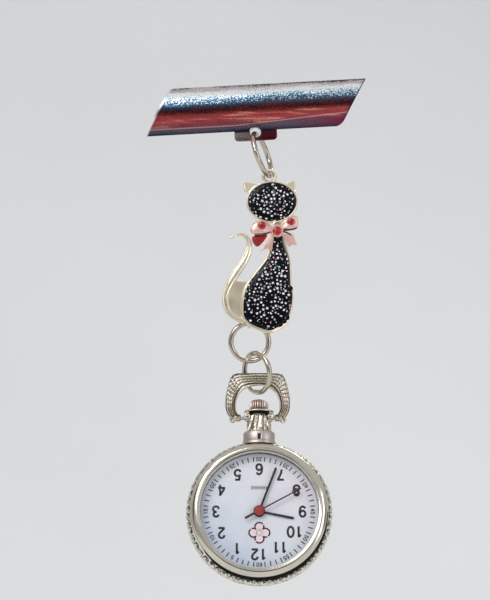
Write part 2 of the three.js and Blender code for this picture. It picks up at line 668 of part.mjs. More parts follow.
function buildTrain(group) {
  // second hand, its arbor, pinion and wheel
  const thin = [
    [-0.14, -3.1], [0.14, -3.1], [0.13, 0], [0.09, 7.3], [0.65, 7.9], [0.1, 8.5], [0.05, 9.1],
    [-0.05, 9.1], [-0.1, 8.5], [-0.65, 7.9], [-0.09, 7.3], [-0.13, 0],
  ];
  add(group, "second_hand", handBlade(thin, -2.65, -2.5, 1, 0, SECOND_TURN), red);
  const secondWheel = join(
    toothed(60, 2.2, 2.08, 1.45, 1.65),
    toothed(8, 0.3, 0.24, 0.95, 1.3),
    rod(0.22, -2.48, 1.9, 12),
    rod(0.14, 1.8, 2.2, 12),
  );
  add(group, "second_wheel", secondWheel, brass);

  // minute hand, cannon pinion and centre wheel on one tube
  const minute = [
    [-0.2, -1.9], [0.2, -1.9], [0.2, 8.85], [0.1, 9], [-0.1, 9], [-0.2, 8.85],
  ];
  add(group, "minute_hand", handBlade(minute, -2.3, -2.15, 1.1, 0.53, MINUTE_TURN), black);
  const cannon = cut(
    join(
      rod(0.5, -2.35, 0.8),
      toothed(12, 0.62, 0.52, -0.85, -0.6),
      toothed(64, 2.24, 2.12, 0.5, 0.7),
    ),
    rod(0.27, -3, 3),
  );
  add(group, "centre_wheel", cannon, brass);

  // hour hand and hour wheel
  const hour = [
    [-0.22, -1.6], [0.22, -1.6], [0.22, 6.5], [0.12, 6.7], [-0.12, 6.7], [-0.22, 6.5],
  ];
  add(group, "hour_hand", handBlade(hour, -1.95, -1.8, 1.1, 0.82, HOUR_TURN), black);
  const hourWheel = join(tube(0.54, 0.78, -2, -0.95), toothed(40, 1.9, 1.78, -1.13, -0.95, 0.6));
  add(group, "hour_wheel", hourWheel, brass);

  const minuteWheel = wheelOn(
    toothed(36, 1.72, 1.6, -0.85, -0.65),
    toothed(10, 0.44, 0.36, -1.15, -0.8),
    0.2,
    -1.15,
    -0.43,
  );
  const [mx, mz] = MINUTE_WHEEL_AT;
  add(group, "minute_wheel", minuteWheel.translate(mx, 0, mz), brass);

  const thirdWheel = wheelOn(
    toothed(60, 2.24, 2.12, 1, 1.2),
    toothed(8, 0.3, 0.24, 0.45, 0.8),
    0.14,
    -0.2,
    2.2,
  );
  add(group, "third_wheel", thirdWheel.translate(THIRD_AT[0], 0, THIRD_AT[1]), brass);

  const fifthWheel = wheelOn(
    toothed(40, 1.55, 1.43, 1, 1.2),
    toothed(10, 0.38, 0.3, 1.35, 1.8),
    0.14,
    -0.2,
    2.2,
  );
  add(group, "fifth_wheel", fifthWheel.translate(FIFTH_AT[0], 0, FIFTH_AT[1]), brass);

  const rotor = join(
    rod(0.55, 0.42, 0.8, 12),
    toothed(8, 0.32, 0.26, 0.95, 1.3),
    rod(0.14, -0.2, 2.2, 12),
  );
  add(group, "rotor", rotor.translate(ROTOR_AT[0], 0, ROTOR_AT[1]), steel);
}

function buildWatch() {
  const group = new THREE.Group();
  const lean = WATCH_LEAN * DEG;
  const drop = PIVOT_Z - WATCH_AT[2];
  group.rotation.x = -lean;
  group.position.set(WATCH_AT[0], HANG_Y - drop * Math.sin(lean), PIVOT_Z - drop * Math.cos(lean));
  buildCase(group);
  buildCrown(group);
  buildMovement(group);
  buildTrain(group);
  return group;
}

// ---------------------------------------------------------------- the whole fob watch
const fobWatch = new THREE.Group();
fobWatch.name = "fob_watch";
fobWatch.add(buildBrooch(), buildCharm(), buildLinks(), buildWatch());

export default fobWatch;
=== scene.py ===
"""Looks of a nurse's fob watch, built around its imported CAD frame. Lengths are in millimetres until a mesh
is placed, and metres after that. +Z is up, +X is to the viewer's right and -Y is towards the viewer."""
import math
import random

import bmesh
import bpy
import numpy as np
from mathutils import Matrix, Vector


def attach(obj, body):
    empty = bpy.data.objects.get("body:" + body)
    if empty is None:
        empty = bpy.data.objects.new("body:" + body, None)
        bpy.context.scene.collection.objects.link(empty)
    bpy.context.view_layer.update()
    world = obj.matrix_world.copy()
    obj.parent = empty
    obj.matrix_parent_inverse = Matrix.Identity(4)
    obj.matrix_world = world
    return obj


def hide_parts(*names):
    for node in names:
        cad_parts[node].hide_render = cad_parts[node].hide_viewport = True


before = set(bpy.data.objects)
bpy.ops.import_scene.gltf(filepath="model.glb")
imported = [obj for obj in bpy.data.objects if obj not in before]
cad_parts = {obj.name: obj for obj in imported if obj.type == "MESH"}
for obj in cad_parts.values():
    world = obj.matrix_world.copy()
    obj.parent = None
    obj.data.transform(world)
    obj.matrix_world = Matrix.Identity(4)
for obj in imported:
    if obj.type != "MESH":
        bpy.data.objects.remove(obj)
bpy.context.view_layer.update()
rng = random.Random(7)

# -------- places, as in the CAD part
MM = 0.001
TAU = 2 * math.pi
HANG_Y = -0.35
BROOCH_TILT = math.radians(3.15)
BAR_SLANT = 0.589
BAR_HALF = 19.15
BAR_HALF_HEIGHT = 4.6
CHARM_AT = (2.59, HANG_Y, -13.52)
CHARM_TILT = math.radians(-3.6)
PIVOT_Z = -60.6
WATCH_LEAN = math.radians(13)
WATCH_AT = (0.6, HANG_Y, -79.28)
BAIL_AT = (0.35, HANG_Y, 0)

IN_BROOCH = Matrix.Rotation(-BROOCH_TILT, 4, "Y")
IN_CHARM = Matrix.Translation(CHARM_AT) @ Matrix.Rotation(CHARM_TILT, 4, "X")
# The watch is swung forward about the bail's pins.
IN_WATCH = (
    Matrix.Translation((WATCH_AT[0], HANG_Y, PIVOT_Z))
    @ Matrix.Rotation(-WATCH_LEAN, 4, "X")
    @ Matrix.Translation((0, 0, WATCH_AT[2] - PIVOT_Z))
)
IN_BAIL = Matrix.Translation(BAIL_AT)
IN_ROW = Matrix.Identity(4)
# Both turn what is made about Z into the same thing about Y: with its top to the front, or to the back.
FACING = Matrix.Rotation(math.pi / 2, 4, "X")
BACKWARD = Matrix.Rotation(-math.pi / 2, 4, "X")


def above_dial(z):
    """A height in the row frame, counted from the dial's centre."""
    return z - WATCH_AT[2]


# -------- material building
class Nodes:
    """A material's node tree, with short calls for the nodes used here."""

    def __init__(self, name):
        self.material = bpy.data.materials.new(name)
        self.material.use_nodes = True
        self.tree = self.material.node_tree
        self.surface = self.tree.nodes["Principled BSDF"]

    def add(self, kind, **settings):
        node = self.tree.nodes.new(kind)
        for key, value in settings.items():
            if key in node.inputs:
                node.inputs[key].default_value = value
            else:
                setattr(node, key, value)
        return node

    def link(self, out, into):
        self.tree.links.new(out, into)

    def place(self, scale=(1, 1, 1), turn=(0, 0, 0)):
        """The piece's own coordinates, in metres, scaled and turned."""
        coords = self.add("ShaderNodeTexCoord")
        mapping = self.add("ShaderNodeMapping")
        mapping.inputs["Scale"].default_value = scale
        mapping.inputs["Rotation"].default_value = turn
        self.link(coords.outputs["Object"], mapping.inputs["Vector"])
        return mapping.outputs["Vector"]

    def noise(self, scale, detail=3.0, where=None, roughness=0.55):
        node = self.add("ShaderNodeTexNoise", Scale=scale, Detail=detail, Roughness=roughness)
        self.link(where or self.place(), node.inputs["Vector"])
        return node.outputs["Fac"]

    def ramp(self, value, stops):
        """A colour for each value, drawn evenly between the stops, each (position, colour)."""
        node = self.add("ShaderNodeValToRGB")
        elements = node.color_ramp.elements
        while len(elements) < len(stops):
            elements.new(0.5)
        for element, (position, colour) in zip(elements, stops):
            element.position = position
            element.color = (*colour, 1)
        self.link(value, node.inputs["Fac"])
        return node.outputs["Color"]

    def spread(self, value, low, high, start=0.3, end=0.7):
        """What runs from `start` to `end`, stretched to run from `low` to `high` and held there."""
        node = self.add("ShaderNodeMapRange")
        for socket, level in zip(("From Min", "From Max", "To Min", "To Max"), (start, end, low, high)):
            node.inputs[socket].default_value = level
        self.link(value, node.inputs["Value"])
        return node.outputs["Result"]

    def sum(self, a, b, operation="ADD"):
        node = self.add("ShaderNodeMath", operation=operation)
        for socket, value in zip(node.inputs, (a, b)):
            if isinstance(value, (int, float)):
                socket.default_value = value
            else:
                self.link(value, socket)
        return node.outputs[0]

    def times(self, a, b):
        return self.sum(a, b, "MULTIPLY")

    def mix(self, factor, a, b):
        node = self.add("ShaderNodeMix", data_type="RGBA", blend_type="MIX")
        for socket, value in zip((node.inputs[0], node.inputs[6], node.inputs[7]), (factor, a, b)):
            if isinstance(value, (int, float)):
                socket.default_value = value
            elif isinstance(value, tuple):
                socket.default_value = (*value, 1)
            else:
                self.link(value, socket)
        return node.outputs[2]

    def bump(self, height, strength, distance):
        node = self.add("ShaderNodeBump", Strength=strength, Distance=distance)
        self.link(height, node.inputs["Height"])
        self.link(node.outputs["Normal"], self.surface.inputs["Normal"])

    def set(self, **sockets):
        for key, value in sockets.items():
            socket = self.surface.inputs[key.replace("_", " ")]
            if isinstance(value, tuple):
                socket.default_value = (*value, 1)
            elif isinstance(value, (int, float)):
                socket.default_value = value
            else:
                self.link(value, socket)
        return self.material


def metal(name, colour, roughness, grain=0.0004, streak=(1, 1, 1), strength=0.08, worn=0.06):
    """Polished or plated metal: faint colour drift, uneven gloss and a fine grain."""
    n = Nodes(name)
    drift = n.noise(220, 4)
    darker = tuple(c * 0.82 for c in colour)
    n.bump(n.noise(1 / grain, 2, n.place(streak)), strength, 0.00003)
    gloss = n.spread(n.noise(500, 5), max(roughness - worn / 2, 0.02), roughness + worn)
    return n.set(
        Base_Color=n.mix(n.spread(drift, 0, 0.6), colour, darker), Metallic=1.0, Roughness=gloss
    )


def relief_metal(name, colour, low, roughness, dirt=0.35):
    """Plated casting with painted shade: where the mesh's own relief is low, in its hollows and grooves, the
    colour is painted dark and matt, with random dirt mixed in.
    """
    n = Nodes(name)
    height = n.add("ShaderNodeAttribute", attribute_name="relief").outputs["Fac"]
    shade_and_dirt = n.sum(height, n.times(n.noise(900, 4), dirt))
    shade = n.ramp(shade_and_dirt, [(0.2, low), (0.5, tuple(c * 0.7 for c in colour)), (0.8, colour)])
    n.bump(n.noise(2600, 3), 0.12, 0.00003)
    return n.set(
        Base_Color=shade, Metallic=1.0, Roughness=n.spread(shade_and_dirt, roughness + 0.25, roughness, 0.1, 0.7)
    )


def brooch_front():
    """Chrome with painted reflections: its colour holds painted bands of a bright ceiling, a blue gap and
    something red below it, broken up by fine scratches.
    The painted bands follow the bar's own height: 0 is its top edge and 1 its bottom edge."""
    n = Nodes("brooch_chrome_painted_reflections")
    level_turn = (0, BROOCH_TILT, 0)
    split = n.add("ShaderNodeSeparateXYZ")
    n.link(n.place((1, 1, 1), level_turn), split.inputs["Vector"])
    length, up = split.outputs["X"], split.outputs["Z"]
    height = n.spread(up, 1, 0, -BAR_HALF_HEIGHT * MM, BAR_HALF_HEIGHT * MM)
    streaks = n.noise(1.0, 5, n.place((110, 1500, 1500), level_turn))
    grains = n.noise(1.0, 2, n.place((3600, 4600, 4600), level_turn), 0.7)
    clouds = n.noise(1.0, 2, n.place((90, 260, 260), level_turn))
    scatter = n.spread(grains, -0.2, 0.2, 0.32, 0.68)
    scatter = n.times(scatter, n.spread(height, 1, 0.25, 0.42, 0.56))
    scatter = n.times(scatter, n.spread(height, 0.2, 1, 0.14, 0.32))
    level = n.sum(n.sum(height, scatter), n.spread(streaks, -0.03, 0.03))
    level = n.sum(level, n.spread(clouds, -0.03, 0.03))
    bands = n.ramp(
        level,
        [
            (0.0, (0.02, 0.018, 0.02)),
            (0.03, (0.03, 0.028, 0.03)),
            (0.045, (0.56, 0.5, 0.52)),
            (0.11, (0.66, 0.6, 0.63)),
            (0.15, (1.0, 1.0, 1.0)),
            (0.22, (0.97, 0.99, 1.0)),
            (0.265, (0.42, 0.6, 0.7)),
            (0.33, (0.05, 0.17, 0.33)),
            (0.43, (0.014, 0.055, 0.1)),
            (0.53, (0.04, 0.03, 0.045)),
            (0.6, (0.34, 0.055, 0.045)),
            (0.72, (0.4, 0.065, 0.075)),
            (0.84, (0.22, 0.06, 0.075)),
            (0.92, (0.1, 0.05, 0.07)),
            (0.97, (0.035, 0.03, 0.045)),
            (1.0, (0.012, 0.01, 0.014)),
        ],
    )
    # painted reflection of something red: within its band, orange glints, dark streaks and dark red specks
    red_zone = n.times(n.spread(height, 0, 1, 0.53, 0.62), n.spread(height, 1, 0, 0.8, 0.9))
    painted_red_glints = n.times(n.spread(streaks, 0, 0.75, 0.54, 0.68), red_zone)
    tone = n.mix(painted_red_glints, bands, (0.85, 0.36, 0.24))
    painted_dark_streaks = n.times(n.spread(streaks, 0.7, 0, 0.34, 0.46), red_zone)
    tone = n.mix(painted_dark_streaks, tone, (0.1, 0.02, 0.03))
    specks = n.times(n.spread(grains, 0, 0.6, 0.5, 0.68), red_zone)
    tone = n.mix(specks, tone, (0.16, 0.025, 0.03))
    # a painted reflection: a long pale line that rises to the right, with painted slate below it and magenta
    # at the far right
    rise = n.sum(height, n.spread(length, 0.0, 0.16, -0.004, 0.02))
    line = n.ramp(rise, [(0.868, (0, 0, 0)), (0.885, (1, 1, 1)), (0.9, (0, 0, 0))])
    tone = n.mix(n.times(line, 0.55), tone, (0.72, 0.5, 0.5))
    under = n.spread(rise, 0, 0.75, 0.9, 0.93)
    slate = n.mix(n.spread(length, 0, 1, 0.006, 0.017), (0.09, 0.1, 0.15), (0.2, 0.015, 0.06))
    tone = n.mix(n.times(under, n.spread(height, 1, 0, 0.93, 1)), tone, slate)
    # painted reflection on the tab: grey at the left, dark red at the right
    tab_tone = n.mix(n.spread(length, 0, 1, -0.002, 0.001), (0.3, 0.24, 0.25), (0.13, 0.02, 0.035))
    tone = n.mix(n.spread(up, 1, 0, -0.0051, -0.0047), tone, tab_tone)
    # the slanting ends: a painted highlight along the left edge and a painted shadow along the right one
    skew = n.sum(length, n.times(up, -BAR_SLANT))
    tone = n.mix(n.spread(skew, 1, 0, -0.01895, -0.0186), tone, (0.85, 0.84, 0.82))
    tone = n.mix(n.spread(skew, 0, 0.85, 0.01875, 0.01905), tone, (0.02, 0.02, 0.025))
    n.bump(streaks, 0.1, 0.00003)
    return n.set(Base_Color=tone, Metallic=1.0, Roughness=n.spread(grains, 0.2, 0.36))


def enamel(name, colour, low=0.03):
    """Poured resin, glossy, with a slight orange-peel surface and faint dust below it."""
    n = Nodes(name)
    dust = n.noise(6000, 2)
    tone = n.mix(n.spread(dust, 0, 1, 0.55, 0.8), colour, tuple(min(c + low, 1) for c in colour))
    n.bump(n.noise(700, 2), 0.15, 0.00004)
    return n.set(Base_Color=tone, Roughness=n.spread(dust, 0.12, 0.22), Specular_IOR_Level=0.14)


def stone():
    """Clouded red glass with a polished skin."""
    n = Nodes("stone_red")
    cloud = n.noise(1500, 3)
    reds = [(0.3, (0.2, 0.003, 0.006)), (0.55, (0.42, 0.01, 0.018)), (0.72, (0.7, 0.1, 0.08))]
    n.bump(n.noise(2400, 2), 0.2, 0.00003)
    gloss = n.spread(cloud, 0.1, 0.22)
    return n.set(Base_Color=n.ramp(cloud, reds), Roughness=gloss, Coat_Weight=0.6, Coat_Roughness=0.05)


def flake(name, colour, shine):
    """Glitter foil: `shine` is how far it looks like metal."""
    n = Nodes(name)
    tone = n.mix(n.spread(n.noise(3000, 1), 0, 0.7), colour, tuple(c * 0.6 for c in colour))
    return n.set(Base_Color=tone, Metallic=shine, Roughness=0.28)


def dial_paint():
    """Satin white print with painted light on it: a lilac cast at the top right, shading to a darker blue at
    the lower left.
    """
    n = Nodes("dial_paint")
    split = n.add("ShaderNodeSeparateXYZ")
    n.link(n.place(), split.inputs["Vector"])
    slope = n.sum(split.outputs["X"], split.outputs["Z"])
    centre = (WATCH_AT[0] + WATCH_AT[2] + 0.5) * MM
    cast = n.spread(slope, 0, 1, centre - 0.013, centre + 0.013)
    painted_light_stops = [(0.0, (0.52, 0.6, 0.74)), (0.35, (0.68, 0.72, 0.8)), (1.0, (0.8, 0.77, 0.85))]
    painted_light_tint = n.ramp(cast, painted_light_stops)
    n.bump(n.noise(3000, 3), 0.05, 0.00002)
    tone = n.mix(n.spread(n.noise(260, 3), 0, 0.35), painted_light_tint, (0.84, 0.86, 0.89))
    return n.set(Base_Color=tone, Roughness=n.spread(n.noise(800, 2), 0.35, 0.5))


def paint(name, colour, roughness, grit=0.04):
    """Ink, lacquer, rubber or plastic with faint pale spots."""
    n = Nodes(name)
    spots = n.noise(2200, 3)
    tone = n.mix(n.spread(spots, 0, 1, 0.45, 0.75), colour, tuple(min(c + grit, 1) for c in colour))
    n.bump(n.noise(1800, 2), 0.08, 0.00002)
    return n.set(Base_Color=tone, Roughness=n.spread(spots, roughness, roughness + 0.15))


def crystal_glass():
    """Clear glass with a faint smear, nearly all of it see-through."""
    n = Nodes("crystal_clear")
    smear = n.spread(n.noise(120, 3), 0.02, 0.06)
    return n.set(Base_Color=(0.1, 0.11, 0.12), Roughness=smear, Alpha=0.03, Specular_IOR_Level=0.6)


def circuit_green():
    """Solder mask with a pattern of tracks."""
    n = Nodes("board_mask")
    tracks = n.add("ShaderNodeTexBrick", Scale=900.0)
    n.link(n.place((1, 1, 1), (math.pi / 2, 0, 0)), tracks.inputs["Vector"])
    tone = n.mix(tracks.outputs["Fac"], (0.02, 0.16, 0.07), (0.05, 0.3, 0.14))
    return n.set(Base_Color=tone, Roughness=n.spread(n.noise(900), 0.35, 0.5))


silver = metal("plated_wire", (0.58, 0.52, 0.43), 0.13)
chrome = metal("polished_chrome", (0.68, 0.65, 0.56), 0.12)
satin = metal("satin_chrome", (0.6, 0.58, 0.55), 0.22)
steel = metal("drawn_steel", (0.6, 0.61, 0.62), 0.26, streak=(0.15, 1, 1), strength=0.2)
brushed = metal("brushed_back", (0.64, 0.64, 0.65), 0.24, grain=0.0002, strength=0.12)
pale_gold = metal("pale_gold_cast", (0.86, 0.78, 0.6), 0.3, grain=0.0006, strength=0.18)
rose = metal("rose_plate", (0.88, 0.6, 0.53), 0.4, grain=0.0006, strength=0.15)
brass = metal("gilt_brass", (0.78, 0.6, 0.27), 0.3, strength=0.12)
copper = metal("wound_copper", (0.72, 0.33, 0.16), 0.35, grain=0.0001, streak=(1, 1, 0.1), strength=0.4)
engraved = relief_metal("engraved_case", (0.74, 0.72, 0.62), (0.015, 0.014, 0.01), 0.24, 0.2)
ornate = relief_metal("ornate_casting", (0.72, 0.65, 0.55), (0.02, 0.016, 0.012), 0.2, 0.25)
fluted = relief_metal("fluted_crown", (0.58, 0.48, 0.42), (0.03, 0.024, 0.02), 0.3, 0.1)
tube_metal = metal("pendant_tube_satin", (0.55, 0.475, 0.435), 0.4, strength=0.12)
bar_painted_reflections = brooch_front()
black_enamel = enamel("glitter_enamel", (0.004, 0.004, 0.006), 0.012)
# painted shade and red reflection for the bow's left tail
painted_red_reflection = enamel("bow_painted_red_reflection", (0.3, 0.02, 0.02), 0.15)
red_stone = stone()
dial_white = dial_paint()
ink = paint("dial_ink", (0.008, 0.008, 0.01), 0.4, 0.01)
red_ink = paint("dial_red_ink", (0.07, 0.003, 0.01), 0.4, 0.02)
pink_ink = paint("dial_pink_ink", (0.84, 0.68, 0.73), 0.45)
inner_wall = metal("grey_flange", (0.24, 0.24, 0.235), 0.5, strength=0.1)
hand_black = paint("hand_lacquer", (0.004, 0.004, 0.005), 0.22, 0.01)
hand_dark = paint("second_hand_needle", (0.055, 0.004, 0.004), 0.3, 0.01)
hand_red = paint("second_hand_lacquer", (0.3, 0.012, 0.01), 0.3, 0.04)
# painted shadow for the dark lines under the bow's loops
bow_shadow_brown = paint("bow_painted_shadow", (0.02, 0.008, 0.006), 0.6, 0.01)
shadow_black = paint("slot_shadow", (0.004, 0.004, 0.004), 0.6, 0.01)
gasket = paint("nitrile", (0.02, 0.02, 0.02), 0.7)
nylon = paint("moulded_nylon", (0.8, 0.78, 0.72), 0.45)
glass = crystal_glass()
board = circuit_green()


# -------- mesh building
def in_scene(name, data):
    """A new object for a mesh, curve, light or camera, linked to the scene."""
    holder = bpy.data.objects.new(name, data)
    bpy.context.scene.collection.objects.link(holder)
    return holder


def mesh_from(name, verts, faces):
    """A mesh from points and the faces between them."""
    mesh = bpy.data.meshes.new(name)
    mesh.from_pydata([tuple(v) for v in verts], [], faces)
    return mesh


def baked(holder):
    """The mesh an object shows once its modifiers have run."""
    bpy.context.view_layer.update()
    evaluated = holder.evaluated_get(bpy.context.evaluated_depsgraph_get())
    return bpy.data.meshes.new_from_object(evaluated)


def put(name, verts, faces, material, place, body, slot, replaces=(), crease=35, relief=None):
    """Makes a piece from points in millimetres, and rides it on a CAD body."""
    mesh = mesh_from(name, verts, faces)
    return settle(name, mesh, material, place, body, replaces, crease, relief)


def on_charm(name, shape, material, slot, replaces=(), crease=35):
    """A piece of the charm, drawn about the top of its head."""
    return put(name, *shape, material, IN_CHARM, "charm", slot, replaces, crease)


def on_case(name, shape, material, replaces=(), crease=35, relief=None):
    """A piece of the watch body, drawn about the dial's centre."""
    return put(name, *shape, material, IN_WATCH, "watch", "case_plate", replaces, crease, relief)


def on_brooch(name, shape, material, replaces=(), body="brooch", slot="pin_steel"):
    """A piece of the brooch or its pin, drawn level about the bar's middle."""
    return put(name, *shape, material, IN_BROOCH, body, slot, replaces)


def settle(name, mesh, material, place, body, replaces=(), crease=35, relief=None):
    """Finishes a mesh in millimetres: its place, relief, materials and shading, and what it rides."""
    mesh.transform(Matrix.Scale(MM, 4) @ place)
    if relief is not None:
        mesh.attributes.new("relief", "FLOAT", "POINT").data.foreach_set("value", relief)
    mesh.materials.clear()
    for each in material if isinstance(material, (list, tuple)) else [material]:
        mesh.materials.append(each)
    soften(mesh, crease)
    piece = in_scene(name, mesh)
    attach(piece, body)
    if replaces:
        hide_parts(*replaces)
    return piece


def cleaned(mesh, distance):
    """The mesh opened for editing, with doubled points merged and its normals outward."""
    bm = bmesh.new()
    bm.from_mesh(mesh)
    bmesh.ops.remove_doubles(bm, verts=bm.verts, dist=distance)
    bmesh.ops.recalc_face_normals(bm, faces=bm.faces)
    return bm


def soften(mesh, crease):
    """Outward normals, smooth shading, and sharp edges where faces meet at more than `crease` degrees."""
    bm = cleaned(mesh, 1e-8)
    limit = math.radians(crease)
    for face in bm.faces:
        face.smooth = True
    for edge in bm.edges:
        edge.smooth = len(edge.link_faces) != 2 or edge.calc_face_angle(0) < limit
    bm.to_mesh(mesh)
    bm.free()


def grid(rows, columns, close_rows=False, close_columns=False, start=0):
    """Faces of a grid of points, row by row. Either direction can close on itself."""
    faces = []
    for r in range(rows if close_rows else rows - 1):
        for c in range(columns if close_columns else columns - 1):
            r2, c2 = (r + 1) % rows, (c + 1) % columns
            corner = (r * columns + c, r * columns + c2, r2 * columns + c2, r2 * columns + c)
            faces.append(tuple(start + i for i in corner))
    return faces


def lathe(profile, sides, closed=True, shape=None):
    """Points and faces of a solid of revolution about Z. The profile is [radius, height].
    `shape(turn, radius, height, step)` may move a point; it returns (radius, height)."""
    verts = []
    for r in range(sides):
        turn = TAU * r / sides
        for step, (radius, height) in enumerate(profile):
            if shape:
                radius, height = shape(turn, radius, height, step)
            verts.append((radius * math.cos(turn), radius * math.sin(turn), height))
    return verts, grid(sides, len(profile), close_rows=True, close_columns=closed)


def rounded(points, radius, steps=4):
    """A closed outline with each corner rounded off."""
    out = []
    count = len(points)
    for i, point in enumerate(points):
        here = Vector(point)
        before = Vector(points[i - 1]) - here
        after = Vector(points[(i + 1) % count]) - here
        reach = min(radius, before.length * 0.45, after.length * 0.45)
        a = here + before.normalized() * reach
        b = here + after.normalized() * reach
        for k in range(steps + 1):
            t = k / steps
            out.append(tuple(a * (1 - t) ** 2 + here * (2 * t * (1 - t)) + b * t * t))
    return out


def spline(points, count, closed=False):
    """A smooth curve through the points, as `count` evenly spaced ones."""
    source = [Vector(p) for p in points]
    size = len(source)
    dense = []
    for i in range(size if closed else size - 1):
        p0 = source[i - 1] if closed or i else source[0] * 2 - source[1]
        p1, p2 = source[i], source[(i + 1) % size]
        p3 = source[(i + 2) % size] if closed or i + 2 < size else p2 * 2 - p1
        for k in range(24):
            t = k / 24
            a = p1 * 2 + (p2 - p0) * t + (p0 * 2 - p1 * 5 + p2 * 4 - p3) * t * t
            dense.append((a + (p1 * 3 - p0 - p2 * 3 + p3) * t**3) * 0.5)
    dense.append(source[0].copy() if closed else source[-1].copy())
    run = [0.0]
    for a, b in zip(dense, dense[1:]):
        run.append(run[-1] + (b - a).length)
    wanted = [run[-1] * i / (count if closed else count - 1) for i in range(count)]
    axes = [np.interp(wanted, run, [p[k] for p in dense]) for k in range(len(source[0]))]
    return [tuple(float(v) for v in point) for point in zip(*axes)]


def sweep(path, radii, sides=12, closed=False, flat=1.0, normal=(0, 1, 0)):
    """A tube along a path. `radii` holds one radius, or one for each point; `flat` squeezes it along
    `normal`, which stays one axis of its section."""
    line = [Vector(p) for p in path]
    count = len(line)
    radii = radii if isinstance(radii, (list, tuple)) else [radii] * count
    thick = Vector(normal).normalized()
    verts, faces = [], []
    for i, point in enumerate(line):
        after = line[(i + 1) % count] if closed or i + 1 < count else line[i]
        before = line[i - 1] if closed or i else line[0]
        side = (after - before).cross(thick).normalized()
        for s in range(sides):
            turn = TAU * s / sides
            out, up = radii[i] * math.cos(turn), radii[i] * flat * math.sin(turn)
            verts.append(point + side * out + thick * up)
    faces = grid(count, sides, close_rows=closed, close_columns=True)
    if not closed:
        faces.append(tuple(range(sides)))
        faces.append(tuple((count - 1) * sides + s for s in reversed(range(sides))))
    return verts, faces


def plate_mesh(name, loops, front, back, bevel=0.12, steps=3):
    """A flat plate in X and Z with rounded edges, from y `front` to `back`. The loops are its outline
    and any holes."""
    curve = bpy.data.curves.new(name, "CURVE")
    curve.dimensions = "2D"
    curve.fill_mode = "BOTH"
    curve.extrude = (back - front) / 2 - bevel
    curve.bevel_depth = bevel
    curve.bevel_resolution = steps
    curve.offset = -bevel
    for loop in loops:
        line = curve.splines.new("POLY")
        line.points.add(len(loop) - 1)
        for point, (x, z) in zip(line.points, loop):
            point.co = (x, z, 0, 1)
        line.use_cyclic_u = True
    holder = in_scene(name, curve)
    bpy.context.view_layer.update()
    mesh = bpy.data.meshes.new_from_object(holder)
    bpy.data.objects.remove(holder)
    mesh.transform(Matrix.Translation((0, (front + back) / 2, 0)) @ FACING)
    return mesh


def parts_of(mesh):
    """A mesh as (points, faces)."""
    return [v.co.copy() for v in mesh.vertices], [tuple(p.vertices) for p in mesh.polygons]


def together(*shapes):
    """Several (points, faces) as one."""
    verts, faces = [], []
    for points, polygons in shapes:
        offset = len(verts)
        verts += [tuple(p) for p in points]
        faces += [tuple(i + offset for i in polygon) for polygon in polygons]
    return verts, faces


def moved(shape, matrix):
    """(points, faces) with the points put through a matrix."""
    return [matrix @ Vector(v) for v in shape[0]], shape[1]


def fused(name, shape, voxel, relax=4):
    """Overlapping shapes melted into one skin with small fillets, as a casting has."""
    holder = in_scene(name, mesh_from(name, *shape))
    melt = holder.modifiers.new("melt", "REMESH")
    melt.mode = "VOXEL"
    melt.voxel_size = voxel
    ease = holder.modifiers.new("ease", "SMOOTH")
    ease.iterations = relax
    ease.factor = 0.5
    result = baked(holder)
    bpy.data.objects.remove(holder)
    return result


def oval(x, z, a, b, count=64):
    """Points round (x, z), with half its width and half its height."""
    return [(x + a * math.cos(TAU * i / count), z + b * math.sin(TAU * i / count)) for i in range(count)]


def in_plane(points, y):
    """Flat points, set at one depth."""
    return [(x, y, z) for x, z in points]


def dome(outline, base, height, rings=14, power=5, skirt=0.25):
    """A pillow on an outline: points at `base` swell towards -Y, with a short wall behind."""
    cx = sum(p[0] for p in outline) / len(outline)
    cz = sum(p[1] for p in outline) / len(outline)
    verts = [(x, base + skirt, z) for x, z in outline]
    for k in range(rings):
        reach = math.cos(math.pi / 2 * k / rings)
        lift = height * math.sqrt(max(1 - reach**power, 0))
        verts += [(cx + (x - cx) * reach, base - lift, cz + (z - cz) * reach) for x, z in outline]
    count = len(outline)
    faces = grid(rings + 1, count, close_columns=True)
    verts.append((cx, base - height, cz))
    tip = len(verts) - 1
    last = rings * count
    faces += [(last + i, last + (i + 1) % count, tip) for i in range(count)]
    faces.append(tuple(reversed(range(count))))
    return verts, faces


# -------- brooch
BAR_DEPTH = 2.4
BAR_SHEET = 0.6
TAB_HOLE = (-0.37, -4.95)
TAB_HOLE_RADIUS = 0.95
TAB = (-4.45, 3.85, -6.6, -3.95)
PIN_AT = (-15, 2.7)
CATCH_X = (13.4, 15.6)
STRIP_HALF = (17, 2)
SOLDER_X = 11
EAR_Z = 1


def corner_cut(z, low, high):
    """How far a bar end with corners of radius `low` and `high` falls short at a height z."""
    radius = low if z < 0 else high
    into = max(0, abs(z) - BAR_HALF_HEIGHT + radius)
    return radius - math.sqrt(max(radius**2 - into**2, 0))


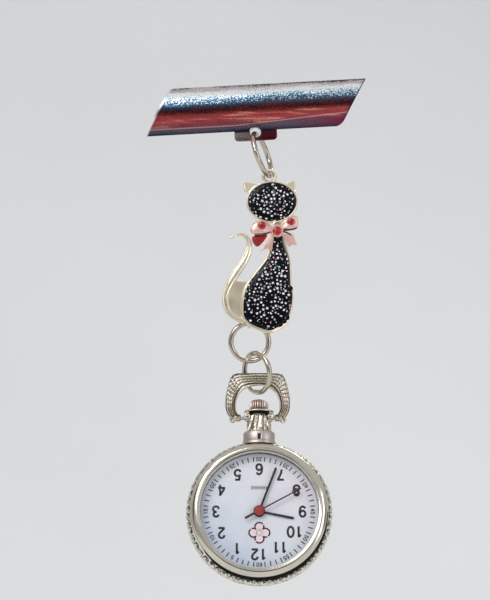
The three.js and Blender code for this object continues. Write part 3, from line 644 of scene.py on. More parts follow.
def bar_shape():
    """The bent sheet: an arc in section, with slanting ends and rounded edges."""
    radius = (BAR_HALF_HEIGHT**2 + BAR_DEPTH**2) / (2 * BAR_DEPTH)
    half = math.asin(BAR_HALF_HEIGHT / radius)
    middle = radius - BAR_DEPTH
    outer = [(radius, half * (1 - 2 * i / 48)) for i in range(49)]
    inner = [(radius - BAR_SHEET, -half * (1 - 2 * i / 48)) for i in range(49)]
    section = [(middle - r * math.cos(a), r * math.sin(a)) for r, a in outer + inner]
    section = rounded(section, 0.2, 2)
    columns = 96
    verts = []
    for c in range(columns + 1):
        for y, z in section:
            left = corner_cut(z, low=0.3, high=0.3) - BAR_HALF
            right = BAR_HALF - corner_cut(z, low=1.2, high=0.4)
            verts.append((left + (right - left) * c / columns + BAR_SLANT * z, y, z))
    count = len(section)
    faces = grid(columns + 1, count, close_columns=True)
    faces.append(tuple(range(count)))
    faces.append(tuple(columns * count + i for i in reversed(range(count))))
    return verts, faces


def tab_outline():
    """The small tab below the bar, with rounded lower corners."""
    left, right, low, high = TAB
    corners = [(left, high), (left, low), (right, low), (right, high)]
    return rounded(corners, 0.9, 6)


def build_brooch():
    """The bar and its drilled tab as one sheet: chrome with painted reflections in front, satin behind."""
    tab = plate_mesh("tab", [tab_outline()], -0.62, 0.02, 0.1)
    drill = lathe([(0, -4), (TAB_HOLE_RADIUS, -4), (TAB_HOLE_RADIUS, 4), (0, 4)], 48, closed=False)
    drill = moved(drill, Matrix.Translation((TAB_HOLE[0], 0, TAB_HOLE[1])) @ FACING)
    mesh = carved("bar", bar_shape(), [parts_of(tab)], [drill])
    piece = settle(
        "brooch_bar", mesh, [bar_painted_reflections, satin], IN_BROOCH, "brooch", ["brooch_plate"], 40
    )
    for face in piece.data.polygons:
        face.material_index = 0 if face.normal.y < 0.1 else 1
    lip = TAB_HOLE_RADIUS + 0.08
    rim = sweep(in_plane(oval(*TAB_HOLE, lip, lip, 48), -0.6), 0.07, sides=8, closed=True)
    on_brooch("tab_hole_lip", rim, satin, slot="brooch_chrome")
    build_brooch_back()


def carved(name, base, added, removed):
    """Exact union and difference of closed (points, faces) shapes, as one mesh."""
    holders = []
    for i, shape in enumerate([base, *added, *removed]):
        mesh = mesh_from(f"{name}_{i}", *shape)
        bm = cleaned(mesh, 1e-5)
        bm.to_mesh(mesh)
        bm.free()
        holders.append(in_scene(mesh.name, mesh))
    for i, tool in enumerate(holders[1:]):
        modifier = holders[0].modifiers.new(f"step_{i}", "BOOLEAN")
        modifier.operation = "UNION" if i < len(added) else "DIFFERENCE"
        modifier.solver = "EXACT"
        modifier.object = tool
    result = baked(holders[0])
    for holder in holders:
        bpy.data.objects.remove(holder)
    return result


def bar_between(x0, x1, y0, y1, z0, z1, bevel=0.12):
    """A block with rounded edges: an outline in X and Z, with depth along Y."""
    outline = rounded([(x0, z0), (x1, z0), (x1, z1), (x0, z1)], bevel * 2, 3)
    return parts_of(plate_mesh("block", [outline], y0, y1, bevel))


def rod_shape(radius, low, high, sides=32, soft=0.08):
    """A round bar about Z with softened ends."""
    profile = [(0, low), (radius - soft, low), (radius, low + soft), (radius, high - soft),
               (radius - soft, high), (0, high)]
    return lathe(profile, sides, closed=False)


def build_brooch_back():
    """The pin: a strip with solder pads and two ears, the rivet, the needle, and its roll-over catch."""
    x, y = PIN_AT
    wide, tall = STRIP_HALF
    strip = rounded([(-wide, -tall), (wide, -tall), (wide, tall), (-wide, tall)], 0.8, 6)
    windows = [oval(at, 0, 1.1, 0.8, 40) for at in (-7.5, -2.5, 2.5, 7.5)]
    base = [parts_of(plate_mesh("strip", [strip, *windows], -0.6, 0, 0.08))]
    base += [bar_between(at - 1.5, at + 1.5, -1.5, -0.5, -1.2, 1.2) for at in (-SOLDER_X, SOLDER_X)]
    for side in (-EAR_Z, EAR_Z):
        ear = lathe([(0.46, -0.25), (0.85, -0.25), (0.9, -0.2), (0.9, 0.2), (0.85, 0.25), (0.46, 0.25)], 40)
        base.append(moved(ear, Matrix.Translation((x, y, side))))
        base.append(bar_between(x - 0.9, x + 0.9, -0.1, y - 0.5, side - 0.25, side + 0.25, 0.05))
    on_brooch("pin_base_strip", together(*base), steel, ["pin_base"])

    rivet = [moved(rod_shape(0.4, -1.4, 1.4), Matrix.Translation((x, y, 0)))]
    for side in (-1, 1):
        head = lathe([(0, 0), (0.64, 0), (0.6, 0.18), (0.35, 0.3), (0, 0.32)], 32, closed=False)
        flip = Matrix.Translation((x, y, side * 1.27)) @ Matrix.Scale(side, 4, (0, 0, 1))
        rivet.append(moved(head, flip))
    on_brooch("hinge_rivet_domed", together(*rivet), chrome, ["pin_hinge_rivet"])

    along_x = Matrix.Rotation(math.pi / 2, 4, "Y")
    eye = lathe([(0.47, -0.6), (0.9, -0.6), (0.95, -0.5), (0.95, 0.5), (0.9, 0.6), (0.47, 0.6)], 48)
    length = CATCH_X[1] + 0.5 - x
    needle = lathe(
        [(0, 0.7), (0.36, 0.7), (0.38, 1.2), (0.38, length - 3), (0.3, length - 1.6), (0.12, length - 0.4),
         (0.02, length), (0, length)], 32, closed=False)
    stem = together(moved(eye, Matrix.Translation((x, y, 0))),
                    moved(needle, Matrix.Translation((x, y, 0)) @ along_x))
    on_brooch("pin_needle", stem, chrome, ["pin_stem"], "pin")

    x0, x1 = CATCH_X
    drum = moved(rod_shape(1.2, x0, x1, 64, 0.05), Matrix.Translation((0, y, 0)) @ along_x)
    rims = [moved(rod_shape(1.6, a, a + 0.35, 64, 0.06), Matrix.Translation((0, y, 0)) @ along_x)
            for a in (x0, x1 - 0.35)]
    foot = bar_between(x0 + 0.01, x1 - 0.01, 0.03, y - 0.5, -0.7, 0.7, 0.05)
    slot = bar_between(x0 - 1, x1 + 1, y - 0.5, y + 3, -0.5, 0.5, 0.02)
    housing = carved("catch", drum, [*rims, foot], [slot])
    settle("catch_drum", housing, steel, IN_BROOCH, "brooch", ["catch_housing"], 30)

    arc = [(1.25, a) for a in range(40, 141, 4)] + [(1.65, a) for a in range(140, 39, -4)]
    outline = [(r * math.cos(math.radians(a)), r * math.sin(math.radians(a))) for r, a in arc]
    shell = parts_of(plate_mesh("lock", [outline], 0, 1.4, 0.06))
    turn = Matrix(((0, 1, 0, x0 + 0.4), (1, 0, 0, y), (0, 0, 1, 0), (0, 0, 0, 1)))
    thumb = bar_between(x0 + 0.7, x0 + 1.5, y - 0.25, y + 0.25, 1.5, 2.4, 0.08)
    on_brooch("catch_sleeve", together(moved(shell, turn), thumb), chrome, ["catch_lock"], "catch")


# -------- jump rings
def ring_from(node):
    """A CAD ring's centre, normal, centre-line radius and wire radius, in millimetres."""
    points = np.array([v.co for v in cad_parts[node].data.vertices]) / MM
    centre = (points.min(0) + points.max(0)) / 2
    normal = np.linalg.svd(points - points.mean(0), full_matrices=False)[2][2]
    reach = np.linalg.norm(points - centre - np.outer((points - centre) @ normal, normal), axis=1)
    return Vector(centre), Vector(normal), (reach.max() + reach.min()) / 2, (reach.max() - reach.min()) / 2


# Thinner than the CAD wire, so that neighbouring rings clear each other at the ends of their swing.
WIRE_SHARE = 0.925
SAW_CUT = 0.035


def build_ring(name, node, body, cut_at):
    """Bent wire with its two sawn ends all but touching, `cut_at` radians round."""
    centre, normal, radius, wire = ring_from(node)
    wire *= WIRE_SHARE
    start = normal.orthogonal().normalized()
    other = normal.cross(start)
    gap = SAW_CUT / radius
    steps = 160
    path = []
    for i in range(steps + 1):
        turn = cut_at + gap + (TAU - 2 * gap) * i / steps
        path.append(centre + start * radius * math.cos(turn) + other * radius * math.sin(turn))
    ends = [wire * 0.93, wire * 0.99] + [wire] * (steps - 3) + [wire * 0.99, wire * 0.93]
    verts, faces = sweep(path, ends, 28, normal=normal)
    put(name, verts, faces, silver, IN_ROW, body, "ring_plate", [node], 50)


# -------- charm
# The head is an oval: its centre and its half width and height.
HEAD = (0.58, -5.28, 4.98, 4.12)
RIM = 0.27
RIM_Y = -0.85
PLATE_HALF = 0.8
ENAMEL_BASE = -0.72
LUG_AT = (-3.76, 1.79, -28.39)
BODY_EDGE = [
    (0.9, -9.6), (0.55, -12.7), (-0.5, -16.2), (-3.6, -20.3), (-4.9, -22.8), (-5.35, -25.3),
    (-5.25, -27.8), (-4.35, -29.1), (-2.9, -30.0), (-0.1, -30.85), (1.5, -30.3), (3.4, -29.0),
    (4.4, -26.3), (4.7, -23.6), (4.3, -21.5), (4.2, -18.6), (4.0, -16.2), (2.9, -12.7), (2.5, -9.6),
]
BODY_ENAMEL = [
    (1.1, -10.6), (0.7, -13.6), (-0.2, -16.5), (-3.3, -20.4), (-4.6, -22.9), (-5.05, -25.3),
    (-4.95, -27.6), (-4.1, -28.8), (-2.8, -29.65), (-0.1, -30.5), (1.4, -30.0), (3.15, -28.75),
    (4.1, -26.2), (4.4, -23.6), (4.0, -21.5), (3.9, -18.6), (3.6, -16.2), (2.6, -13.0), (2.3, -10.6),
]
TAIL = [
    (-7.5, -12.4), (-6.4, -11.7), (-5.2, -11.65), (-4.2, -12.4), (-3.85, -13.8), (-4.2, -15.4),
    (-5.1, -17.2), (-6.5, -19.3), (-7.8, -21.5), (-8.5, -23.6), (-8.5, -25.3), (-7.8, -26.9),
    (-6.3, -28.0), (-4.8, -28.7),
]
# Half the tail's width at each of its points.
TAIL_WIDTH = [0.12, 0.28, 0.42, 0.56, 0.7, 0.8, 0.84, 0.8, 0.7, 0.6, 0.54, 0.5, 0.5, 0.5]
WEB = [(-7.3, -20.9), (-5.6, -20.7), (-3.9, -21.2), (-4.5, -24.5), (-4.6, -27.5), (-6.4, -27.8),
       (-8.0, -26.2), (-8.2, -23.6)]
EARS = (
    [(-4.5, -3.3), (-5.05, -1.9), (-5.0, -1.45), (-4.6, -1.4), (-2.3, -2.0), (-2.4, -3.3)],
    [(3.2, -3.0), (3.2, -1.95), (4.5, -1.2), (5.0, -1.35), (5.15, -1.8), (5.1, -3.3)],
)


def charm_casting():
    """Head, body, loop, ears, filled web, ridged tail, raised rims and rear lug, melted into one."""
    neck = [(-1.2, -1.1), (-0.7, -2.2), (1.6, -2.2), (1.0, -1.1)]
    head_rim = oval(HEAD[0], HEAD[1], HEAD[2] - 0.14, HEAD[3] - 0.14, 96)
    body_edge = spline(BODY_EDGE, 150, True)
    loop = oval(0.84 + 0.33, 0, 0.33, 0.42, 24)
    shapes = [
        parts_of(plate_mesh("head", [oval(*HEAD, 96)], -PLATE_HALF, PLATE_HALF, bevel=0.3, steps=5)),
        parts_of(plate_mesh("body", [body_edge], -PLATE_HALF, PLATE_HALF, bevel=0.3, steps=5)),
        moved(lathe(loop, 64), Matrix.Translation((0, 0, -0.17)) @ FACING),
        parts_of(plate_mesh("neck", [neck], -0.5, 0.5, 0.1)),
        parts_of(plate_mesh("web", [spline(WEB, 60, True)], -0.28, 0.45, 0.1)),
    ]
    for ear in EARS:
        shapes.append(parts_of(plate_mesh("ear", [spline(ear, 50, True)], -0.6, 0.6, 0.2)))
        inner = [(x * 0.98 + 0.01, z * 0.985 - 0.02) for x, z in spline(ear, 50, True)]
        shapes.append(sweep(in_plane(inner, -0.58), 0.13, sides=8, closed=True))
    line = spline([(x, 0, z) for x, z in TAIL], 120)
    widths = list(np.interp(np.linspace(0, 1, 120), np.linspace(0, 1, len(TAIL_WIDTH)), TAIL_WIDTH))
    shapes.append(sweep(line, widths, 20, flat=0.85))
    for side in (-1, 1):
        ridge = []
        for i, point in enumerate(line):
            after = Vector(line[min(i + 1, 119)]) - Vector(line[max(i - 1, 0)])
            across = after.cross(Vector((0, 1, 0))).normalized()
            ridge.append(Vector(point) + across * side * widths[i] * 0.72 + Vector((0, -0.42, 0)))
        shapes.append(sweep(ridge, [0.08 + 0.16 * w for w in widths], 8))
    body_rim = [(x * 0.965 + 0.02, z) for x, z in body_edge]
    shapes.append(sweep(in_plane(head_rim, RIM_Y), 0.17, sides=10, closed=True))
    shapes.append(sweep(in_plane(body_rim, RIM_Y), 0.2, sides=10, closed=True))
    shapes.append(sweep([(-0.35, -0.95, -16.3), (-1.9, -1.0, -18.4), (-3.45, -0.95, -20.35)], 0.24, 12))
    lug_rod = lathe([(0.9, -0.45), (1.3, -0.45), (1.35, -0.35), (1.35, 0.35), (1.3, 0.45), (0.9, 0.45)], 48)
    across_x = Matrix.Rotation(math.pi / 2, 4, "Y")
    shapes.append(moved(lug_rod, Matrix.Translation(LUG_AT) @ across_x))
    return fused("charm", together(*shapes), 0.075, 3)


FLAKE_SIDES = 8
FLAKE_SHEET = 0.03
# How often each finish in FLAKES is drawn, for the large flakes and for the small ones.
LARGE_SHARES = (82, 6, 6, 4, 2)
SMALL_SHARES = (36, 40, 11, 8, 5)


def flakes(name, outline, height, large, small):
    """Glitter on an enamel dome: `large` bright discs and `small` dimmer ones, each tilted a little."""
    cx = sum(p[0] for p in outline) / len(outline)
    cz = sum(p[1] for p in outline) / len(outline)
    verts, faces, finishes, spots = [], [], [], []
    tries = 0
    while len(spots) < large + small and tries < 9000:
        tries += 1
        big = len(spots) < large
        x, z = rng.choice(outline)
        share = math.sqrt(rng.random()) * 0.94
        px = cx + (x - cx) * share + rng.uniform(-0.2, 0.2)
        pz = cz + (z - cz) * share + rng.uniform(-0.2, 0.2)
        room = 0.62 if big else 0.4
        if any(math.hypot(px - spot[0], pz - spot[2]) < room for spot in spots):
            continue
        y = ENAMEL_BASE - height * math.sqrt(max(1 - min(share + 0.02, 1) ** DOME_POWER, 0)) - 0.015
        spots.append((px, y, pz, big))
    for px, y, pz, big in spots:
        size = rng.uniform(0.18, 0.27) if big else rng.uniform(0.09, 0.15)
        turn = rng.uniform(0, TAU)
        lean = 0.08 if big else 0.3
        tilt = Matrix.Rotation(rng.uniform(-lean, lean), 3, "X")
        tilt = tilt @ Matrix.Rotation(rng.uniform(-lean, lean), 3, "Z")
        start = len(verts)
        for depth in (0, FLAKE_SHEET):
            for k in range(FLAKE_SIDES):
                at = turn + k * TAU / FLAKE_SIDES
                corner = Vector((size * math.cos(at), 0, size * math.sin(at)))
                verts.append(Vector((px, y + depth, pz)) + tilt @ corner)
        rear = start + FLAKE_SIDES
        faces.append(tuple(start + k for k in range(FLAKE_SIDES)))
        faces.append(tuple(rear + k for k in reversed(range(FLAKE_SIDES))))
        for k in range(FLAKE_SIDES):
            after = (k + 1) % FLAKE_SIDES
            faces.append((start + k, rear + k, rear + after, start + after))
        finish = rng.choices(range(len(FLAKES)), LARGE_SHARES if big else SMALL_SHARES)[0]
        finishes += [finish] * (FLAKE_SIDES + 2)
    piece = on_charm(name, (verts, faces), FLAKES, "glitter_enamel", crease=20)
    for face, finish in zip(piece.data.polygons, finishes):
        face.material_index = finish


FLAKES = [
    flake("flake_white", (0.95, 0.95, 0.97), 0.25),
    flake("flake_silver", (0.6, 0.61, 0.64), 0.8),
    flake("flake_pink", (0.85, 0.45, 0.55), 0.4),
    flake("flake_blue", (0.4, 0.6, 0.88), 0.4),
    flake("flake_green", (0.45, 0.8, 0.66), 0.4),
]


BOW_LEFT = [(0.45, -11.3), (-1.3, -11.75), (-3.05, -11.65), (-3.6, -11.0), (-3.15, -9.85), (-2.2, -9.3),
            (-0.7, -9.4), (0.35, -10.2)]
BOW_RIGHT = [(2.3, -10.9), (2.3, -10.1), (3.1, -8.85), (4.6, -8.25), (5.4, -8.5), (5.45, -10.2),
             (4.7, -10.85), (3.0, -11.1)]
TAIL_LEFT = [(0.9, -11.6), (0.75, -13.2), (0.45, -15.2), (-0.45, -14.5), (-1.75, -15.2), (-0.8, -13.2),
             (-0.1, -11.9)]
TAIL_RIGHT = [(2.0, -11.7), (3.0, -11.2), (4.6, -11.6), (5.35, -14.0), (4.5, -13.75), (3.85, -14.3),
              (2.9, -12.6)]
# A dark red dome on the left tail: painted shade and red reflection, where the tail is shaded and mirrors
# something red.
RED_PATCH = [(-0.4, -11.8), (-0.95, -12.9), (-2.2, -14.1), (-3.05, -13.5), (-3.25, -12.2),
             (-1.6, -11.9)]
# Dark lines under the loops: painted shadows where the loops shade the ribbon tails.
BOW_SHADOW_LINES = (
    [(-2.9, -12.0), (-1.6, -12.0), (-0.3, -11.6), (0.25, -11.35)],
    [(2.75, -10.95), (3.8, -10.95), (4.9, -10.75), (5.4, -10.5)],
    [(2.7, -11.3), (3.4, -11.5), (4.2, -11.95)],
)
STONES = ((-1.375, -10.1, 0.78, "bow_stone_left"), (1.5, -11.2, 0.9, "bow_stone_middle"),
          (4.2, -9.35, 0.71, "bow_stone_right"))


def build_bow():
    """A soft ribbon: two puffed loops with pleats to the knot, and two notched tails."""
    shapes = []
    for outline, knot in ((BOW_LEFT, (1.2, -11.1)), (BOW_RIGHT, (1.9, -11.1))):
        edge = spline(outline, 72, True)
        verts, faces = dome(edge, -1.3, 0.42, rings=12, power=3, skirt=0.2)
        pleated = []
        for x, y, z in verts:
            away = math.hypot(x - knot[0], z - knot[1])
            angle = math.atan2(z - knot[1], x - knot[0])
            fold = 0.12 * math.sin(9 * angle) * math.exp(-((away - 1.4) ** 2) / 1.6)
            pleated.append((x, y + (fold if y < -1.25 else 0), z))
        shapes.append((pleated, faces))
        shapes.append(sweep(in_plane(edge, -1.32), 0.1, sides=8, closed=True))
    for outline in (TAIL_LEFT, TAIL_RIGHT):
        shapes.append(parts_of(plate_mesh("ribbon", [rounded(outline, 0.15, 3)], -1.55, -1.15, 0.1)))
        middle = [Vector(outline[0]).lerp(Vector(outline[3]), t / 6) for t in range(1, 6)]
        shapes.append(sweep([(p.x, -1.55, p.y) for p in middle], 0.07, 8))
    x, z, size, _ = STONES[1]
    knot_edge = oval(x, z, size + 0.33, size + 0.33, 60)
    shapes.append(dome(knot_edge, -1.5, 0.4, rings=10, power=4, skirt=0.35))
    on_charm("ribbon_puffed", together(*shapes), rose, "bow_metal", ["ribbon_bow"], 45)
    for x, z, size, node in STONES:
        level = -1.86 if node == "bow_stone_middle" else -1.68
        cup_line = in_plane(oval(x, z, size + 0.1, size + 0.1, 48), level + 0.03)
        cup = sweep(cup_line, 0.16, sides=10, closed=True)
        on_charm(node + "_cup", cup, rose, "bow_metal")
        stone_shape = dome(oval(x, z, size, size, 48), level, 0.3, rings=12, power=2.6, skirt=0.1)
        on_charm(node + "_cabochon", stone_shape, red_stone, "red_stone", [node])
    # painted shadows: a dark line under each loop
    for k, line in enumerate(BOW_SHADOW_LINES):
        fold = sweep([(x, -1.6, z) for x, z in spline(line, 24)], [0.05] + [0.12] * 22 + [0.05], 10)
        on_charm(f"bow_painted_shadow_{k}", fold, bow_shadow_brown, "bow_metal")
    # painted shade and red reflection on the left tail
    patch = dome(spline(RED_PATCH, 60, True), -1.05, 0.34, rings=10, power=4, skirt=0.2)
    on_charm("ribbon_red_reflection_patch", patch, painted_red_reflection, "red_stone")


DOME_POWER = 5
HEAD_RISE = 0.42
BODY_RISE = 0.46
# Enamel that ran onto the rim: where, and how wide and tall each run is.
ENAMEL_RUNS = (
    (4.1, -22.3, 0.45, 0.55), (3.5, -27.9, 0.4, 0.6), (2.9, -28.7, 0.5, 0.36), (2.0, -29.35, 0.6, 0.3),
)


def build_charm():
    """The casting, two domes of black resin with glitter in them, resin runs on the rim, and the bow."""
    casting = charm_casting()
    settle("charm_casting", casting, pale_gold, IN_CHARM, "charm", ["charm_plate"], 60)
    head = oval(HEAD[0], HEAD[1], HEAD[2] - RIM, HEAD[3] - RIM, 96)
    body = spline(BODY_ENAMEL, 160, True)
    head_dome = dome(head, ENAMEL_BASE, HEAD_RISE, rings=16, power=DOME_POWER, skirt=0.3)
    body_dome = dome(body, ENAMEL_BASE, BODY_RISE, rings=16, power=DOME_POWER, skirt=0.3)
    on_charm("head_resin", head_dome, black_enamel, "glitter_enamel", ["head_enamel"])
    on_charm("body_resin", body_dome, black_enamel, "glitter_enamel", ["body_enamel"])
    flakes("head_glitter", head, HEAD_RISE, large=60, small=50)
    flakes("body_glitter", body, BODY_RISE, large=125, small=95)
    runs = [dome(oval(x, z, a, b, 28), -0.95, 0.2, 6, 3, 0.15) for x, z, a, b in ENAMEL_RUNS]
    on_charm("enamel_runs", together(*runs), black_enamel, "glitter_enamel")
    build_bow()


# -------- bail, pendant and crown
# The right half of the bail's outer and inner edges, from its foot to the top.
BAIL_OUT = [(3.3, -60.9), (4.4, -60.95), (5.4, -60.4), (6.1, -59.0), (6.2, -57.0), (5.8, -54.7),
            (5.1, -52.7), (4.2, -52.05), (2.2, -51.95), (0, -51.9)]
BAIL_IN = [(3.3, -59.95), (3.9, -59.7), (4.15, -58.9), (4.1, -57.4), (3.4, -55.8), (1.9, -54.7),
           (0, -54.38)]


def mirrored(points):
    """An edge drawn from the foot to the middle, and on down the other side."""
    return points + [(-x, z) for x, z in reversed(points[:-1])]


def leaf(u, v):
    """Height of a row of overlapping leaves, 0 to 1: u counts the leaves, v runs from root to tip."""
    phase = (u + 0.35 * v) % 1.0
    blade = math.sin(math.pi * phase) ** 0.7
    vein = 0.35 * math.exp(-((phase - 0.5) ** 2) / 0.006)
    ribs = 0.18 * math.sin(TAU * (3 * phase + 4 * v))
    return max(0.0, min(1.0, blade * (0.75 - 0.2 * v) + vein * 0.6 + ribs * blade))


def ridge(v, at, width):
    """A rounded ridge across v, 1 on its crest at `at`."""
    return math.exp(-(((v - at) / width) ** 2))


def bail_height(along, v):
    """Half the bail's thickness, and how far its edge runs out: a double inner rim, then long parallel
    ridges, with beads over the top bar and leaves on its two shoulders."""
    off = abs(along - 0.5)
    lines = ridge(v, 0.46, 0.055) + ridge(v, 0.64, 0.055) + ridge(v, 0.83, 0.06)
    beads = 0.5 + 0.5 * math.cos(TAU * 46 * along + 9 * v)
    shoulder = math.exp(-(((off - 0.25) / 0.1) ** 2))
    top = 1 / (1 + math.exp((off - 0.2) / 0.02))
    carve = lines * (1 - 0.45 * top * beads) * (1 - shoulder)
    carve += shoulder * leaf(34 * along, max(0, (v - 0.35) / 0.65)) * (v > 0.36)
    height = 0.58 * (1 - abs(2 * v - 1) ** 6) ** 0.5 + 0.3 * carve
    height += 0.34 * ridge(v, 0.08, 0.06) + 0.22 * ridge(v, 0.29, 0.045)
    # relief for the material: low between the ridges and in the groove between the two inner rims, where it
    # is painted as shade
    rim = max(ridge(v, 0.08, 0.07), ridge(v, 0.29, 0.05))
    return height, max(min(carve, 1), rim), 0.11 * shoulder * (leaf(34 * along, 1) - 0.3)


def build_bail():
    """The bow: a ridged band with leaves on its shoulders, ending in scrolls that hold the pins."""
    steps, across = 520, 40
    outer = spline(mirrored(BAIL_OUT), steps)
    inner = spline(mirrored(BAIL_IN), steps)
    verts, relief = [], []
    for i in range(steps):
        a, b = Vector(inner[i]), Vector(outer[i])
        for side in (-1, 1):
            for k in range(across):
                v = k / (across - 1) if side < 0 else 1 - k / (across - 1)
                height, carve, flare = bail_height(i / (steps - 1), v)
                point = a.lerp(b, v + (flare if v > 0.93 else 0))
                verts.append((point.x, side * height, point.y))
                relief.append(carve)
    columns = 2 * across
    faces = grid(steps, columns, close_columns=True)
    faces.append(tuple(range(columns)))
    faces.append(tuple((steps - 1) * columns + i for i in reversed(range(columns))))
    shapes = [(verts, faces)]
    for side in (-1, 1):
        volute = in_plane(spiral(side * 4.75, -61.0, 0.62, 0.16, start=80, sweep_by=470, side=side), 0)
        shapes.append(sweep(volute, [0.2 - 0.0012 * k for k in range(len(volute))], 14, flat=3.4))
        boss = moved(rod_shape(0.72, 0, 1.4, 32, 0.12), Matrix.Rotation(math.pi / 2, 4, "Y"))
        shapes.append(moved(boss, Matrix.Translation((3.3 if side > 0 else -4.7, 0, PIVOT_Z))))
    verts, faces = together(*shapes)
    relief += [0.9] * (len(verts) - len(relief))
    put("bail_ornate", verts, faces, ornate, IN_BAIL, "bow", "case_plate", ["bail"], 60, relief)


def spiral(x, z, outside, inside, start, sweep_by, side, count=64):
    """Points of a volute round (x, z), as seen on the right; `side` -1 mirrors it."""
    points = []
    for k in range(count):
        t = k / (count - 1)
        turn = math.radians(start - sweep_by * t)
        reach = outside + (inside - outside) * t
        points.append((x + side * reach * math.cos(turn), z + reach * math.sin(turn)))
    return points


NECK_LEAVES = 12
NECK_BEADS = 28
CROWN_RIBS = 22


def from_dial(points):
    """Points (radius or x, height) with heights given in the row frame, counted from the dial's centre."""
    return [(x, above_dial(z)) for x, z in points]


def build_pendant():
    """The neck: a thin cap, a waist with leaves, and a plain tube with a small slot, shown as a black plate
    of painted shadow in a raised frame.
    """
    rise = above_dial
    profile = [(0.62, -59.2), (2.55, -59.2), (2.86, -59.3), (2.9, -59.45), (2.7, -59.62), (1.9, -59.75),
               (1.75, -60.0)]
    profile += [(1.78 + 0.5 * (t / 22) ** 1.3, -60.0 - 3.4 * t / 22) for t in range(1, 23)]
    profile = from_dial(profile + [(2.35, -63.55), (0.62, -63.6)])
    tube = from_dial([(0.62, -63.5), (2.4, -63.5), (2.95, -63.62), (3.05, -63.8), (3.05, -65.2),
                      (3.0, -65.35), (3.2, -65.5), (3.2, -65.95), (0.62, -65.95)])
    relief = []

    def carve(turn, radius, height, step):
        level = (rise(-60.1) - height) / 3.3
        depth = 0.9
        if 0 < level < 1:
            depth = leaf(turn / TAU * NECK_LEAVES, level * 1.2)
            radius += 0.42 * depth * math.sin(math.pi * min(level * 1.15, 1)) ** 0.5
        # the underside of the cap gets low relief: a painted shade under its lip
        elif 4 <= step <= 6:
            depth = 0.05
        relief.append(depth)
        return radius, height

    verts, faces = lathe(profile, 260, shape=carve)
    squeeze = Matrix.Diagonal((1, 0.78, 1, 1))
    shapes = [moved((verts, faces), squeeze)]
    for side in (-1, 1):
        for face in (-1, 1):
            scroll = spiral(side * 2.15, rise(-60.5), 0.62, 0.2, start=110, sweep_by=430, side=side)
            volute = in_plane(scroll, face * 1.5)
            shapes.append(sweep(volute, [0.2 - 0.0014 * k for k in range(len(volute))], 12, flat=1.4))
            stalk = [(side * 1.95, face * 1.2, rise(-61.0)), (side * 1.6, face * 1.65, rise(-61.7)),
                     (side * 1.75, face * 1.85, rise(-62.6)), (side * 2.1, face * 1.8, rise(-63.4))]
            shapes.append(sweep(spline(stalk, 30), [0.2] * 30, 10))
    for k in range(NECK_BEADS):
        turn = TAU * k / NECK_BEADS
        bead = lathe([(0, -0.2), (0.14, -0.14), (0.2, 0), (0.14, 0.14), (0, 0.2)], 12, closed=False)
        at = (2.42 * math.cos(turn), 1.92 * math.sin(turn), rise(-63.35))
        shapes.append(moved(bead, Matrix.Translation(at)))
    neck = together(*shapes)
    relief += [0.95] * (len(neck[0]) - len(relief))
    on_case("pendant_neck", neck, ornate, ["pendant"], 60, relief)
    on_case("pendant_tube", moved(lathe(tube, 128), squeeze), tube_metal, crease=30)
    slot = rounded(from_dial([(-0.42, -65.4), (0.42, -65.4), (0.42, -64.15), (-0.42, -64.15)]), 0.1)
    slot_frame = sweep(in_plane(slot, -2.36), 0.09, sides=8, closed=True)
    on_case("pendant_slot_frame", slot_frame, satin)
    # the slot is not cut: a black plate inside its frame paints the shadow in it
    on_case("pendant_slot_shadow", parts_of(plate_mesh("slot", [slot], -2.42, -2.2, 0.02)), shadow_black)
    for side, node in ((-1, "bail_pin_left"), (1, "bail_pin_right")):
        pin = moved(rod_shape(0.4, 0.95, 4.4), Matrix.Rotation(side * math.pi / 2, 4, "Y"))
        pin = moved(pin, Matrix.Translation((0, 0, rise(PIVOT_Z))))
        put(node + "_turned", *pin, satin, IN_WATCH, "watch", "movement_steel", [node])


def build_crown():
    """An onion-shaped crown with rounded ribs, which fade out towards its tip."""
    profile = [(0.48, -59.02), (1.5, -59.02), (1.66, -58.92), (1.7, -58.6), (1.69, -58.2), (1.62, -57.85),
               (1.48, -57.6), (1.26, -57.42), (1.0, -57.32), (0.75, -57.27), (0.55, -57.26), (0.42, -57.2),
               (0.24, -57.12), (0.001, -57.1), (0.001, -58), (0.48, -58)]
    profile = from_dial(profile)
    rib_depths = (0, 0.4, 1, 1, 1, 1, 1, 0.9, 0.7, 0.3)
    relief = []
    base = profile[0][1]

    def ribs(turn, radius, height, step):
        grip = rib_depths[step] if step < len(rib_depths) else 0.0
        wave = 1 - 2 * abs(math.sin(CROWN_RIBS / 2 * turn)) ** 5
        # the grooves between the ribs get low relief, which the material paints as shade
        relief.append(0.55 + 0.45 * wave if grip else 0.9)
        return radius + grip * 0.11 * wave, base + (height - base) * 1.13

    verts, faces = lathe(profile, 384, shape=ribs)
    put("crown_fluted", verts, faces, fluted, IN_WATCH, "winder", "case_plate", ["crown"], 60, relief)
    # a black disc in the gap between crown and collar: a painted shadow
    shadow_disc = moved(rod_shape(1.85, 0, 0.14, 64, 0.03), Matrix.Translation((0, 0, above_dial(-59.18))))
    on_case("crown_painted_shadow_disc", shadow_disc, shadow_black)


# -------- case
def curl(a, b, size):
    """The cut of one engraved scroll, 0 to 1: an open ring with an eye, and a leaf stroke beside it."""
    from_eye = math.hypot(a + 0.14, b)
    ring = 0 if a > 0 and b > 0.05 else ridge(from_eye, size, 0.1)
    stroke_cut = ridge(a - 0.32 * b, 0.44, 0.1) * (abs(b) < 0.5)
    return min(1, 1.1 * ring + ridge(from_eye, 0, 0.13) + stroke_cut)


BAND_ROWS = 3
BAND_CELLS = 56
# The painted shadow under the bezel, on a shallow step in the band: how far out it reaches, and where and how
# much it widens.
RECESS_SHADOW_RADIUS = 12.9
RECESS_SHADOW_WIDENS = 0.55
RECESS_SHADOW_MIDDLE = 1.25
RECESS_SHADOW_HALF_ARC = 1.42


